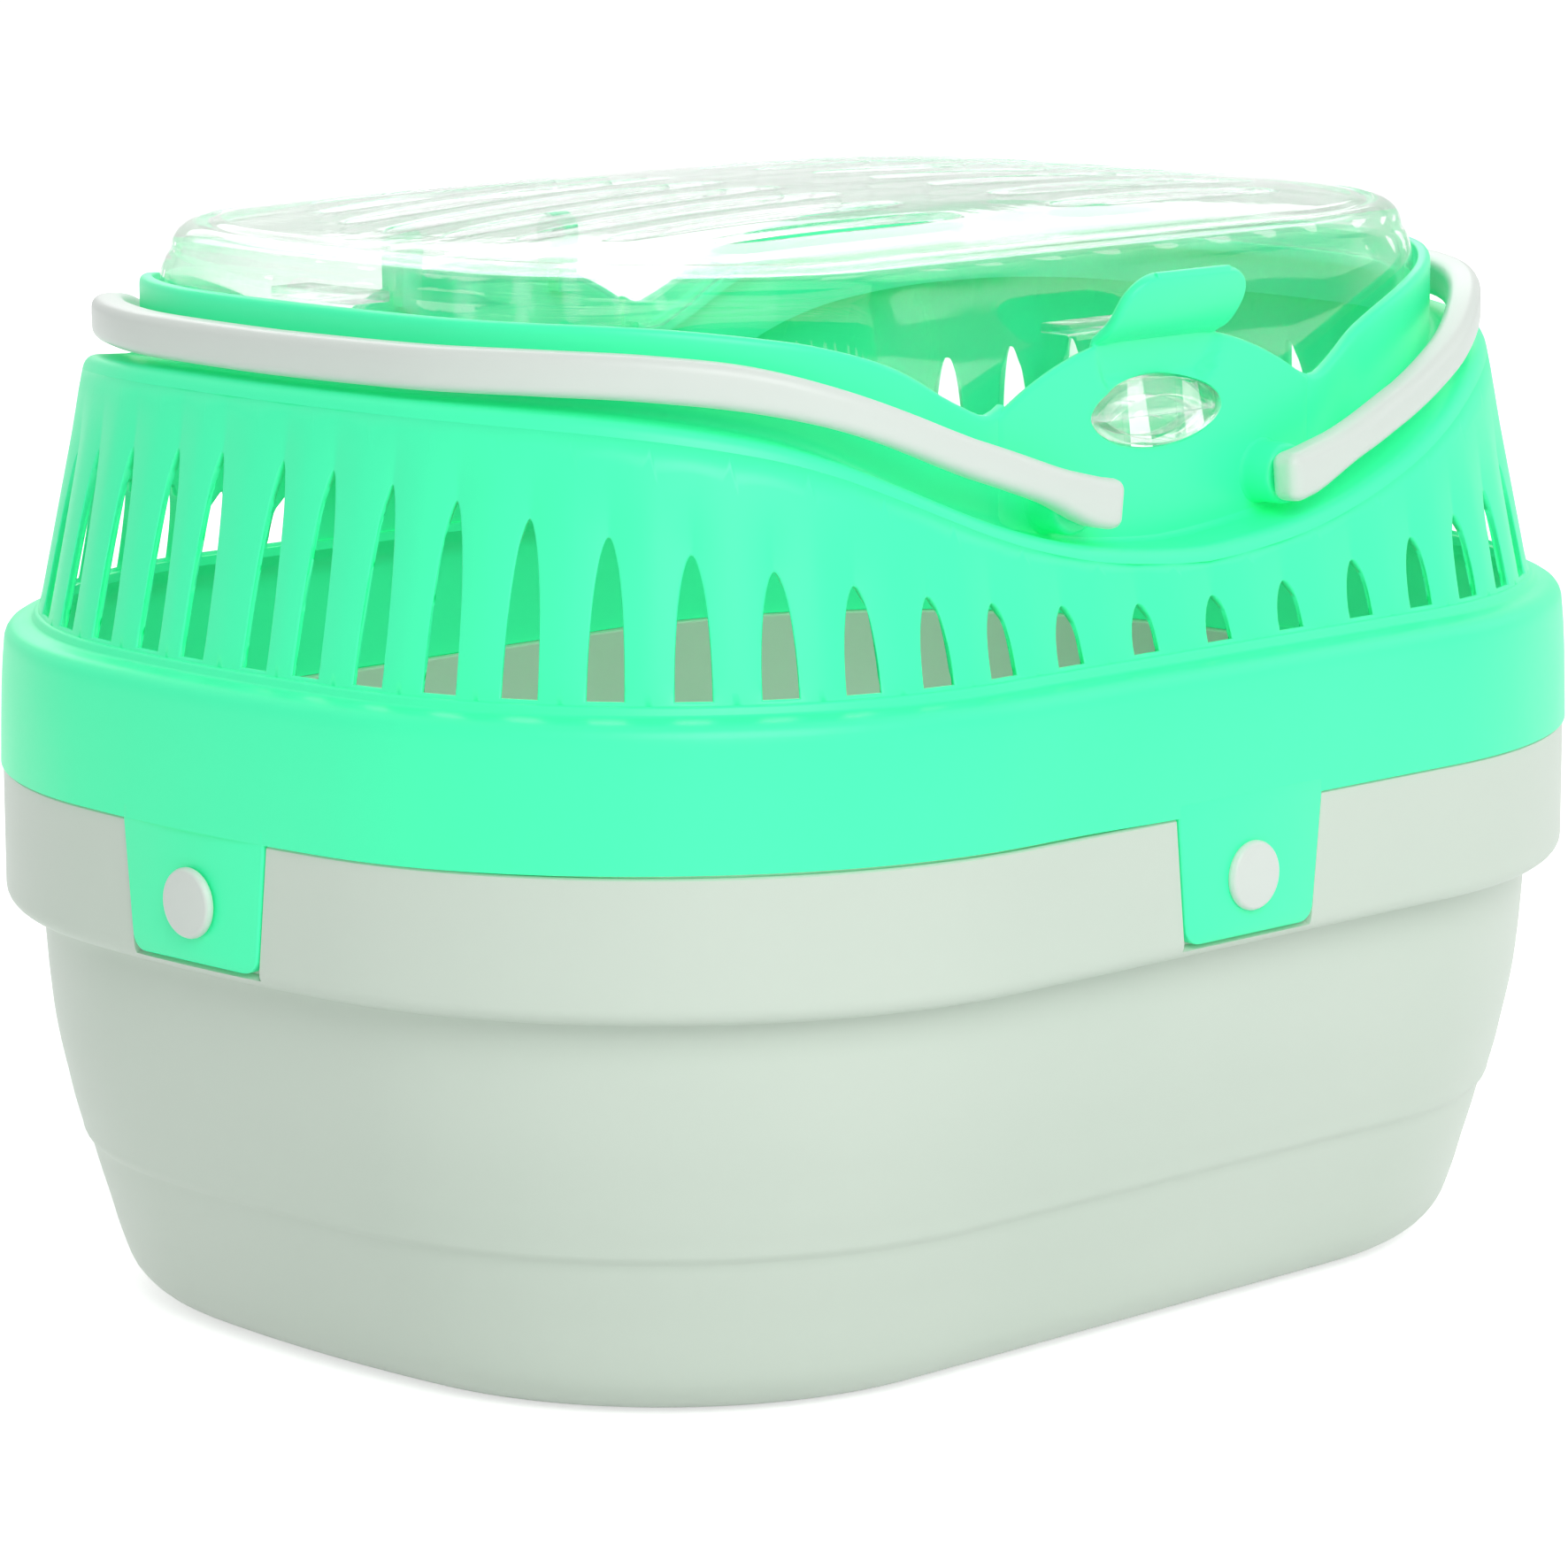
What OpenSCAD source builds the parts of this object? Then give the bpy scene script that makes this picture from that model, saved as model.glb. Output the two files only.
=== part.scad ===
// Small-pet carrier: a tub, a slatted housing that stands on its rim and is held by four pins,
// a clear domed lid hinged at the back with a sprung catch at the front, and two fold-down bow handles.
// Frame: X runs along the long side, the catch is on the -Y side, Z is up from the foot of the tub.
// An "inset" is a distance inwards from the outline of the band, the widest part.

/* [Outline] */
// Overall length over the band
body_l = 300; // [285:1:315]
// Overall width over the band
body_w = 231; // [222:1:240]
// Plan radius of the four corners
corner_r = 94; // [88:1:98]
// Wall thickness of the green and grey mouldings
wall_t = 2.2; // [1.8:0.1:2.5]
// Gap between pieces that fit in each other
fit_gap = 0.3; // [0.2:0.05:0.45]

/* [Tub] */
// Height of the joint between tub and band
joint_z = 101.5; // [96:0.5:108]
// Height of the smooth rim under the joint
rim_h = 26; // [24:0.5:30]
// Inset of the rim's face
rim_inset = 0.4; // [0.2:0.1:1]
// Thickness of the rim
rim_t = 4.3; // [4:0.1:5]
// Radius of the rim's lower outer edge
rim_edge_r = 3.2; // [2:0.1:3.6]
// Inset of the wall under the rim
under_rim = 7.4; // [6.4:0.1:9]
// Height of the step around the tub
step_z = 31; // [26:0.5:36]
// Inset of the wall at that step
step_inset = 13.8; // [13:0.1:15]
// Depth of that step
step_depth = 1.3; // [0.8:0.1:2]
// Inset of the flat foot's edge
foot_inset = 33; // [30:0.5:38]

/* [Housing] */
// Height of the band
band_h = 26.5; // [24:0.5:30]
// Radius of the band's upper edge
band_edge_r = 3.5; // [2:0.1:4.5]
// Inset of the slatted wall's foot
slat_inset = 7.5; // [7:0.1:9]
// Lean of the slatted wall from upright
slat_lean = 11.7; // [10:0.1:12.5]
// Height of the slatted wall over the band at mid length
wall_h = 18.6; // [17:0.1:19]
// Rise of the shoulder towards the ends
shoulder_rise = 32.4; // [31:0.1:33]
// Length over which the shoulder rises
shoulder_run = 140; // [136:1:148]
// Inset of the upper rim along the long sides
upper_inset = 26; // [25.6:0.1:26.5]
// Extra inset of the upper rim at the short ends
upper_pull = 3; // [2.6:0.1:3.4]
// Height of the upper rim over the shoulder, beside the shields
upper_h = 26.9; // [25.4:0.1:27.9]
// Rise of the upper rim towards the ends
upper_rise = 18.8; // [17.5:0.1:19.4]
// Length over which the upper rim rises
upper_run = 65; // [62:1:70]
// Depth of the lid's seat below the upper rim
seat_drop = 5; // [4:0.5:6]
// Width of the lid's seat
seat_w = 3.8; // [3.2:0.1:5]

/* [Slots] */
// Height of the slots' sills over the band
sill_h = 2.5; // [1.5:0.1:4]
// Width of a slot
slot_w = 6.2; // [5:0.1:6.8]
// Height of the lowest slots, at mid length
slot_h = 8; // [7:0.5:9.5]
// How much higher the points get towards the short ends
slot_rise = 28; // [25:0.5:29]
// Spacing of the slots on the straight sides
side_pitch = 19.5; // [17:0.1:20]
// Distance of the first corner slot from mid length
corner_start = 56.2; // [54:0.1:57]
// Spacing of the slots round the corners
corner_pitch = 15; // [14.4:0.1:15.1]
// Number of slots round one corner
corner_slots = 10; // [8:1:10]
// Distance of the last slots from the middle of a short end
end_slot = 6.5; // [5.5:0.1:7]

/* [Shields] */
// Half width of the shields
shield_half = 42; // [40:0.5:44]
// Inset of the shields' outer face
shield_inset = 23.5; // [22.9:0.1:24]
// Height of the shields' arched top over the upper rim beside them
shield_h = 11.7; // [11:0.1:12.5]
// Radius of the shields' arched top
shield_r = 77; // [74:1:82]
// Width of the finger flap
flap_w = 28; // [24:0.5:29]
// Length of the finger flap
flap_l = 16.4; // [13:0.1:17]
// Outward lean of the finger flap
flap_lean = 31; // [24:1:34]
// Corner radius of the finger flap
flap_r = 6; // [4:0.5:8]
// Radius of the round collars behind the handles' ends
collar_r = 7.2; // [6:0.1:7.6]

/* [Catch] */
// Drop of the middle of the catch's window below the shield's top
eye_drop = 14.7; // [14.2:0.1:15.7]
// Width of the window
eye_w = 34; // [32:0.5:35]
// Height of the window
eye_h = 14; // [12:0.5:14.5]
// How far the catch stands out of the window
eye_proud = 1.3; // [0.8:0.1:1.5]
// Width of the catch's springy tongue
tongue_w = 38; // [37:0.5:42]
// Height of the line where the tongue bends over the shield's top
tongue_h = 1.8; // [0.8:0.1:2.8]

/* [Lid] */
// Gap between the lid's skirt and the upper rim
skirt_gap = 1.3; // [1.1:0.1:1.5]
// Thickness of the lid
lid_t = 1.8; // [1.5:0.1:2.1]
// Height of the lid's shoulder over the shields' top
crest_h = 16.1; // [14.3:0.1:17.3]
// Inset of the lid's shoulder from the foot of its skirt
crest_in = 7.5; // [6.5:0.5:9]
// Radius of the lid's shoulder
crest_r = 5; // [3:0.5:6]
// Rise of the lid's top above its shoulder
dome_rise = 5.2; // [4:0.1:7]
// Width of a vent
vent_w = 8.5; // [6:0.5:9.5]
// Spacing of the vents
vent_pitch = 15.5; // [13:0.5:16]
// Distance of the vents' inner ends from mid length
vent_near = 13; // [11:0.5:18]
// Distance of the middle vents' outer ends from mid length
vent_far = 96; // [88:0.5:97]
// How much shorter the outermost vents are
vent_taper = 23; // [14:1:26]
// Width of the lug at each short end of the lid
lug_w = 22; // [16:1:28]

/* [Lid hinge] */
// Gap between the hinge's barrel and the top of the rear shield
hinge_gap = 0.7; // [0.5:0.1:1.7]
// Radius of the hinge stubs
stub_r = 1.8; // [1.5:0.1:2]
// Radius of the hinge's barrel and ears
barrel_r = 3.7; // [3.5:0.1:3.8]
// Length of the lid's hinge barrel
barrel_l = 36; // [28:1:44]
// Thickness of each hinge ear
ear_t = 5; // [4:0.5:7]
// Radial clearance of pins in their bores
pin_gap = 0.06; // [0.03:0.01:0.09]

/* [Handles] */
// Distance of the handle pivots from mid length
pivot_x = 28.5; // [28:0.1:29.5]
// Height of the handle pivots over the shoulder at mid length
pivot_h = 10.4; // [10.2:0.1:11]
// Radius of the pivot pins
pivot_r = 3; // [2.5:0.1:3.4]
// Thickness of a handle
grip_t = 6.4; // [5.6:0.1:6.6]
// Height of a handle's bar
grip_h = 8.8; // [8:0.1:9]
// Radius of the bar's edges
grip_edge_r = 2.2; // [1.4:0.1:2.6]
// Extra height of a handle at its pivots
hub_extra = 1; // [0.4:0.1:1.2]
// Length of a handle past its pivot
hub_l = 6.5; // [5.6:0.1:6.7]
// Height of the bar's middle over the shoulder across a short end
bar_h = 5.8; // [5.6:0.1:6.4]
// Rise of a handle from its pivots to that bar
bar_rise = 29.3; // [28.6:0.1:29.8]
// Inset of a handle's outer face beside the shields
arm_inset = 14; // [13.4:0.1:14.4]
// Inset of a handle's outer face across a short end
bar_inset = 17.8; // [17.2:0.1:18]
// Outward flare of a handle at its pivots
hub_flare = 3.2; // [2.4:0.1:4]

/* [Lock pins] */
// Width of a tab at its root
tab_w = 38.6; // [34:0.2:42]
// Width of a tab at its foot
tab_foot_w = 33.8; // [30:0.2:37]
// Length of a tab below the band
tab_l = 23.3; // [21.6:0.1:23.6]
// Height of the pins' axis below the joint
pin_drop = 12.6; // [11.5:0.1:13.5]
// Radius of a pin's head
pin_head_r = 6.35; // [5.5:0.05:7]
// Height of a pin's head
pin_head_h = 1.9; // [1.5:0.1:2.4]
// Radius of a pin's shank
pin_r = 3; // [2.6:0.1:3.4]
// How far a pin reaches behind the rim
pin_reach = 5; // [3:0.5:6]

/* [Hidden] */
$fn = 96;

tub_grey = [0.80, 0.86, 0.81];
mint = [0.31, 1.0, 0.72];
pale_grey = [0.84, 0.87, 0.84];
clear = [0.90, 0.97, 0.95, 0.4];

// Small overlap of solids that are joined, and a length past every piece for cuts
lap = 0.5;
far = 200;
// How far the slatted wall's foot lies below the top of the band's inner edge
slat_sink = 0.7;
// Number of straight steps in curves drawn over the whole length
wave_n = 56;
bowl_n = 8;
wall_n = 6;
round_n = 5;

half_w = body_w / 2;
half_l = body_l / 2;
// Centres of the corner arcs
corner_x = half_l - corner_r;
corner_y = half_w - corner_r;

band_top = joint_z + band_h;
// The slatted wall starts a little above the band, behind its rounded edge
slat_foot = band_top + wall_t - slat_sink;
sill_z = band_top + sill_h;
slot_low = sill_z + slot_h;
shoulder_low = band_top + wall_h;
upper_low = shoulder_low + upper_h;
shield_top = upper_low + shield_h;
eye_z = shield_top - eye_drop;
tongue_z = shield_top + tongue_h;
hinge_z = shield_top + barrel_r + hinge_gap;
crest_z = shield_top + crest_h;
pivot_z = shoulder_low + pivot_h;
bar_z = shoulder_low + shoulder_rise + bar_h;
shield_y = half_w - shield_inset;
upper_y = half_w - upper_inset;
seat_inset = upper_inset + wall_t;
skirt_inset = seat_inset + skirt_gap;
crest_inset = skirt_inset + crest_in;
lid_top = crest_z + dome_rise;
seat_end = upper_low + upper_rise - seat_drop;
hinge_y = upper_y;
pin_z = joint_z - pin_drop;
// Insets of the back of a tab's pocket, of the tab's own back and of the end of a pin's bore
pocket_inset = rim_inset + wall_t;
tab_back = pocket_inset - fit_gap;
bore_end = rim_inset + rim_t + lap;
hub_h = grip_h + 2 * hub_extra;
tongue_y = wall_t + fit_gap - shield_y;
// The tongue reaches a little below the window
tongue_margin = 2;
tongue_foot = eye_z - eye_h / 2 - tongue_margin;

// Distance along an outline of inset d, from mid length to the end of the corner and to the end's middle
function corner_end(d) = corner_x + PI / 2 * (corner_r - d);
function quarter_len(d) = corner_end(d) + corner_y;

// Direction of the outline at distance s from mid length: 0 on a long side, 90 on a short end
function heading(s, d) = 90 * min(max((s - corner_x) / (corner_end(d) - corner_x), 0), 1);

// Point of the first quarter of the outline of inset d at distance s from mid length
function place(s, d) = let (a = heading(s, d))
    [min(s, corner_x) + (corner_r - d) * sin(a),
        corner_y - max(s - corner_end(d), 0) + (corner_r - d) * cos(a)];

// A rise from 0 to 1 between two values, flat at both ends
function ease(x, x0, x1) = (1 - cos(180 * min(max((x - x0) / (x1 - x0), 0), 1))) / 2;

// Heights over x of the shoulder, the upper rim, the lid's seat and a handle's middle line
function shoulder(x) = shoulder_low + shoulder_rise * ease(abs(x), 0, shoulder_run);
function upper(x) = upper_low
    + upper_rise * sin(90 * min(max(abs(x) - shield_half, 0), upper_run) / upper_run);
// Distances from mid length between which a handle's bar rises
bar_foot_x = 12;
bar_top_x = 118;
function bar(x) = bar_z - bar_rise + bar_rise * ease(abs(x), bar_foot_x, bar_top_x);

// A handle's blunt end, and the length over which its flare fades
hub_x = pivot_x - hub_l;
hub_run = 20;
// Depth of a handle's inner face at the edge of its collar
hub_inner_y = half_w - arm_inset - grip_t
    + hub_flare * (1 - pow((pivot_x + collar_r - hub_x) / hub_run, 2));

wave_x = [for (i = [0 : wave_n]) (half_l + lap) * (2 * i / wave_n - 1)];

// Sweeps a closed profile of [inset, height] points round the outline; pull shortens its long sides
module around(profile, pull = 0) {
    for (side = [0, 180])
        rotate([0, 0, side]) {
            for (m = [0, 1])
                mirror([0, m, 0])
                    translate([corner_x - pull, corner_y, 0])
                        rotate_extrude(angle = 90)
                            polygon([for (p = profile) [corner_r - p[0], p[1]]]);
            translate([0, corner_y, 0])
                rotate([90, 0, 0])
                    linear_extrude(2 * corner_y)
                        polygon([for (p = profile) [half_l - pull - p[0], p[1]]]);
            translate([pull - corner_x, 0, 0])
                rotate([90, 0, 90])
                    linear_extrude(2 * (corner_x - pull))
                        polygon([for (p = profile) [half_w - p[0], p[1]]]);
        }
}

// Fills the middle that the sweeps leave open, between two heights
module core(z0, z1) {
    translate([-corner_x - lap, -corner_y - lap, z0])
        cube([2 * (corner_x + lap), 2 * (corner_y + lap), z1 - z0]);
}

// Everything below a height given over x, or above it
module under(heights, floor_z) {
    translate([0, far, 0])
        rotate([90, 0, 0])
            linear_extrude(2 * far)
                polygon(concat([[-half_l - lap, floor_z]],
                    [for (i = [0 : wave_n]) [wave_x[i], heights[i]]], [[half_l + lap, floor_z]]));
}

// Cylinder along Y between two depths
module along_y(r, y0, y1, x, z) {
    translate([x, y0, z])
        rotate([-90, 0, 0])
            cylinder(h = y1 - y0, r = r);
}

// ---- Tub ----

rim_foot = joint_z - rim_h;
wall_top = rim_foot - rim_edge_r;
// Height of the groove under the step
step_groove = 1;
foot_top = step_z - step_groove;
groove_inset = step_inset + step_depth;

// Outer face of the tub from its rim down to its foot
tub_outer = concat(
    [[rim_inset, joint_z]],
    [for (i = [0 : round_n]) let (a = 90 * i / round_n)
        [rim_inset + rim_edge_r * (1 - cos(a)), rim_foot + rim_edge_r * (1 - sin(a))]],
    [for (i = [0 : wall_n]) let (t = i / wall_n)
        [under_rim + (step_inset - under_rim) * t * t, wall_top + (step_z - wall_top) * t]],
    [for (i = [0 : bowl_n]) let (a = 90 * i / bowl_n)
        [groove_inset + (foot_inset - groove_inset) * (1 - cos(a)), foot_top * (1 - sin(a))]]);
// Inner face, back up to the rim, one wall further in
tub_inner = concat(
    [for (i = [0 : bowl_n]) let (a = 90 - 90 * i / bowl_n)
        [groove_inset + wall_t + (foot_inset - groove_inset) * (1 - cos(a)),
            wall_t + (foot_top - wall_t) * (1 - sin(a))]],
    [for (i = [0 : wall_n]) let (t = 1 - i / wall_n)
        [under_rim + wall_t + (step_inset - under_rim) * t * t, wall_top + (step_z - wall_top) * t]],
    [[rim_inset + rim_t, rim_foot + wall_t], [rim_inset + rim_t, joint_z]]);

// The four tabs' outlines, reaching out through the middle of each side
module tab_prisms(grow) {
    for (turn = [0, 90, 180, 270])
        rotate([0, 0, turn])
            translate([0, -corner_y, 0])
                rotate([90, 0, 0])
                    linear_extrude(far)
                        polygon([[-tab_w / 2 - grow, joint_z + lap], [-tab_w / 2 - grow, joint_z],
                            [-tab_foot_w / 2 - grow, joint_z - tab_l - grow],
                            [tab_foot_w / 2 + grow, joint_z - tab_l - grow],
                            [tab_w / 2 + grow, joint_z], [tab_w / 2 + grow, joint_z + lap]]);
}

// Half the body's length or width, by the side that a pin is in
function side_reach(turn) = turn % 180 == 0 ? half_w : half_l;

module pin_bores() {
    for (turn = [0, 90, 180, 270])
        rotate([0, 0, turn])
            along_y(pin_r + pin_gap, -side_reach(turn) - lap, -side_reach(turn) + bore_end, 0, pin_z);
}

module base_tub() {
    color(tub_grey)
        difference() {
            union() {
                around(concat(tub_outer, tub_inner));
                around([[foot_inset - lap, 0], [corner_r - lap, 0], [corner_r - lap, wall_t],
                    [foot_inset - lap, wall_t]]);
                core(0, wall_t);
            }
            intersection() {
                around([[-lap, rim_foot - lap], [pocket_inset, rim_foot - lap],
                    [pocket_inset, joint_z + lap], [-lap, joint_z + lap]]);
                tab_prisms(fit_gap);
            }
            pin_bores();
        }
}

// ---- Slatted housing ----

// Inset of the slatted wall's outer face at a height
function slat_at(z) = slat_inset + (z - slat_foot) * tan(slat_lean);
slat_head = shoulder_low + shoulder_rise + wall_t;

// Band with a rounded upper edge, open inside down to the rim that it stands on
band_profile = concat(
    [[0, joint_z], [0, band_top - band_edge_r]],
    [for (i = [1 : round_n]) let (a = 90 * i / round_n)
        [band_edge_r * (1 - cos(a)), band_top - band_edge_r * (1 - sin(a))]],
    [[slat_inset, slat_foot], [slat_inset + wall_t, slat_foot], [slat_inset + wall_t, band_top - wall_t],
        [pocket_inset, band_top - wall_t], [pocket_inset, joint_z]]);

// One pointed slot's outline, half an ellipse with the middle of its sill at the origin
module slot_outline(height) {
    polygon([for (i = [0 : 2 * round_n]) let (a = 90 * i / round_n) [slot_w / 2 * cos(a), height * sin(a)]]);
}

// Distances of the slots from mid length in one quarter, without the middle one
slot_s = concat([side_pitch, 2 * side_pitch],
    [for (i = [0 : corner_slots - 1]) corner_start + i * corner_pitch],
    [quarter_len(slat_inset) - end_slot]);

// How far a slot's cut reaches inwards, past the leaning wall
slot_reach = upper_inset - slat_inset - lap;

module slot_cut(s) {
    a = heading(s, slat_inset);
    p = place(s, slat_inset);
    height = slot_low - sill_z + slot_rise * ease(s, 0, quarter_len(slat_inset));
    translate([p[0], p[1], sill_z])
        rotate([90, 0, -a])
            translate([0, 0, -slat_inset])
                linear_extrude(slat_inset + slot_reach)
                    slot_outline(height);
}

module slots() {
    for (mx = [0, 1], my = [0, 1])
        mirror([mx, 0, 0])
            mirror([0, my, 0])
                for (s = slot_s)
                    slot_cut(s);
    for (my = [0, 1])
        mirror([0, my, 0])
            slot_cut(0);
}

module slatted_wall() {
    intersection() {
        around([[slat_inset, slat_foot], [slat_inset, slat_foot - lap], [slat_inset + wall_t, slat_foot - lap],
            [slat_inset + wall_t, slat_foot], [slat_at(slat_head) + wall_t, slat_head],
            [slat_at(slat_head), slat_head]]);
        under([for (x = wave_x) shoulder(x)], slat_foot - 2 * lap);
    }
}

// Ledge from the slatted wall in to the upper rim, following the shoulder
module shoulder_ledge() {
    difference() {
        intersection() {
            around([[slat_at(shoulder_low - wall_t) + wall_t / 2, shoulder_low - wall_t],
                [slat_at(slat_head) + wall_t / 2, slat_head], [seat_inset, slat_head],
                [seat_inset, shoulder_low - wall_t]]);
            under([for (x = wave_x) shoulder(x)], 0);
        }
        under([for (x = wave_x) shoulder(x) - wall_t], 0);
    }
}

// Upright wall behind the handles, with the lid's seat inside it
module upper_rim() {
    top = upper_low + upper_rise;
    difference() {
        intersection() {
            around([[upper_inset, shoulder_low - wall_t], [upper_inset, top], [seat_inset, top],
                [seat_inset, shoulder_low - wall_t]], upper_pull);
            under([for (x = wave_x) upper(x)], 0);
        }
        under([for (x = wave_x) shoulder(x) - wall_t], 0);
    }
    difference() {
        intersection() {
            around([[seat_inset - lap, upper_low - seat_drop - wall_t], [seat_inset - lap, top],
                [seat_inset + seat_w, top], [seat_inset + seat_w, upper_low - seat_drop - wall_t]], upper_pull);
            under([for (x = wave_x) upper(x) - seat_drop], 0);
        }
        under([for (x = wave_x) upper(x) - seat_drop - wall_t], 0);
    }
}

// Arched plate at the middle of a long side, which also fills the step to the upper rim
module shield() {
    intersection() {
        translate([0, -upper_y + wall_t / 2, 0])
            rotate([90, 0, 0])
                linear_extrude(shield_y - upper_y + wall_t / 2)
                    polygon([[-shield_half, shoulder(0) - wall_t], [shield_half, shoulder(0) - wall_t],
                        [shield_half, far], [-shield_half, far]]);
        along_y(shield_r, -shield_y, -upper_y + wall_t / 2, 0, shield_top - shield_r, $fn = 180);
    }
}

// Eye-shaped prism along Y, the overlap of two discs
module eye(w, h, y0, y1) {
    r = (w * w + h * h) / (4 * h);
    intersection() {
        along_y(r, y0, y1, 0, eye_z + r - h / 2, $fn = 180);
        along_y(r, y0, y1, 0, eye_z - r + h / 2, $fn = 180);
    }
}

// Finger flap that leans out from the front shield's top
module flap() {
    translate([0, -shield_y + wall_t, shield_top - wall_t])
        rotate([90 + flap_lean, 0, 0]) {
            translate([-flap_w / 2, -lap, 0])
                cube([flap_w, flap_l - flap_r + lap, wall_t]);
            translate([flap_r - flap_w / 2, 0, 0])
                cube([flap_w - 2 * flap_r, flap_l, wall_t]);
            for (sx = [-1, 1])
                translate([sx * (flap_w / 2 - flap_r), flap_l - flap_r, 0])
                    cylinder(h = wall_t, r = flap_r);
        }
}

// Ears that hold the lid's hinge stubs, on the rear shield
module hinge_ears() {
    for (sx = [-1, 1])
        translate([sx * (barrel_l / 2 + fit_gap + ear_t / 2), 0, 0]) {
            along_x(barrel_r, ear_t, hinge_y, hinge_z);
            translate([-ear_t / 2, hinge_y - barrel_r + wall_t, shield_top - 2 * barrel_r])
                cube([ear_t, 2 * barrel_r - wall_t, hinge_z - shield_top + 2 * barrel_r]);
        }
}

// Cylinder along X, centred on x = 0
module along_x(r, l, y, z) {
    translate([-l / 2, y, z])
        rotate([0, 90, 0])
            cylinder(h = l, r = r);
}

module collars(r, y0, y1) {
    for (turn = [0, 180], sx = [-1, 1])
        rotate([0, 0, turn])
            along_y(r, y0, y1, sx * pivot_x, pivot_z);
}

// Room behind the front shield for the catch's tongue
module tongue_room() {
    translate([-tongue_w / 2 - fit_gap, wall_t - shield_y, tongue_foot - fit_gap])
        cube([tongue_w + 2 * fit_gap, shield_inset, far]);
}

module slatted_housing() {
    color(mint)
        difference() {
            union() {
                around(band_profile);
                intersection() {
                    around([[0, rim_foot], [tab_back, rim_foot], [tab_back, joint_z + lap],
                        [0, joint_z + lap]]);
                    tab_prisms(0);
                }
                difference() {
                    slatted_wall();
                    slots();
                }
                shoulder_ledge();
                upper_rim();
                shield();
                rotate([0, 0, 180])
                    shield();
                flap();
                hinge_ears();
                collars(collar_r, -hub_inner_y + fit_gap, -upper_y + lap);
            }
            eye(eye_w, eye_h, -far, 0);
            tongue_room();
            collars(pivot_r + pin_gap, -far, 0);
            along_x(stub_r + pin_gap, far, hinge_y, hinge_z);
            pin_bores();
        }
}

// ---- Lid ----

// Outer face of the lid at its skirt's foot, up round the shoulder to the flat middle, then the inner face
skirt_foot = upper_low - seat_drop;
dome_inset = corner_r - lap;
lid_outer = concat(
    [[skirt_inset, skirt_foot]],
    [for (i = [0 : wall_n]) let (t = i / wall_n)
        [skirt_inset + (crest_in - crest_r) * t * t * t, skirt_foot + (crest_z - crest_r - skirt_foot) * t]],
    [for (i = [1 : round_n]) let (a = 90 * i / round_n)
        [crest_inset - crest_r * cos(a), crest_z - crest_r * (1 - sin(a))]],
    [for (i = [1 : bowl_n]) let (t = i / bowl_n)
        [crest_inset + (dome_inset - crest_inset) * t, crest_z + dome_rise * (1 - (1 - t) * (1 - t))]]);
lid_inner = concat(
    [for (i = [bowl_n : -1 : 0]) let (t = i / bowl_n)
        [crest_inset + (dome_inset - crest_inset) * t, crest_z + dome_rise * (1 - (1 - t) * (1 - t)) - lid_t]],
    [for (i = [round_n - 1 : -1 : 0]) let (a = 90 * i / round_n)
        [crest_inset - (crest_r - lid_t) * cos(a), crest_z - lid_t - (crest_r - lid_t) * (1 - sin(a))]],
    [for (i = [wall_n - 1 : -1 : 0]) let (t = i / wall_n)
        [skirt_inset + lid_t + (crest_in - crest_r) * t * t * t,
            skirt_foot + (crest_z - crest_r - skirt_foot) * t]]);

// Number of vents in each group, and the place of the outermost ones counted from the middle
vent_rows = 8;
last_row = (vent_rows - 1) / 2;

// Rows of vents in two groups, each vent a slot with round ends
module vents() {
    for (sx = [-1, 1], row = [-last_row : 1 : last_row]) {
        reach = vent_far - vent_taper * pow(row / last_row, 2);
        translate([sx * (vent_near + vent_w / 2), row * vent_pitch, crest_z - 2 * dome_rise])
            cylinder(h = far, r = vent_w / 2);
        translate([sx * (reach - vent_w / 2), row * vent_pitch, crest_z - 2 * dome_rise])
            cylinder(h = far, r = vent_w / 2);
        translate([sx * (vent_near + reach) / 2 - (reach - vent_near - vent_w) / 2,
            row * vent_pitch - vent_w / 2, crest_z - 2 * dome_rise])
            cube([reach - vent_near - vent_w, vent_w, far]);
    }
}

// Barrel behind the lid's rear wall, with a stub at each end
module hinge_barrel() {
    along_x(barrel_r, barrel_l, hinge_y, hinge_z);
    along_x(stub_r, barrel_l + 2 * (fit_gap + ear_t), hinge_y, hinge_z);
    translate([-barrel_l / 2, half_w - skirt_inset - lid_t, hinge_z - barrel_r / 2])
        cube([barrel_l, skirt_inset + lid_t - upper_inset, barrel_r]);
}

// Lift lugs over the upper rim at the short ends
module lugs() {
    reach = skirt_inset + crest_in - crest_r - upper_inset - fit_gap;
    for (turn = [0, 180])
        rotate([0, 0, turn])
            translate([half_l - upper_pull - upper_inset - fit_gap - reach, -lug_w / 2,
                upper_low + upper_rise + fit_gap])
                cube([reach, lug_w, lid_t]);
}

module clear_lid() {
    color(clear)
        difference() {
            union() {
                difference() {
                    union() {
                        around(concat(lid_outer, lid_inner), upper_pull);
                        core(lid_top - lid_t, lid_top);
                        lugs();
                    }
                    under([for (x = wave_x) upper(x) - seat_drop + fit_gap], 0);
                    vents();
                }
                hinge_barrel();
            }
            translate([-tongue_w / 2 - fit_gap, -far, 0])
                cube([tongue_w + 2 * fit_gap, far - half_w + crest_inset, tongue_z]);
        }
}

// ---- Catch ----

// How far the tongue's bent top ends before the lid's shoulder
tongue_back = 6;

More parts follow.
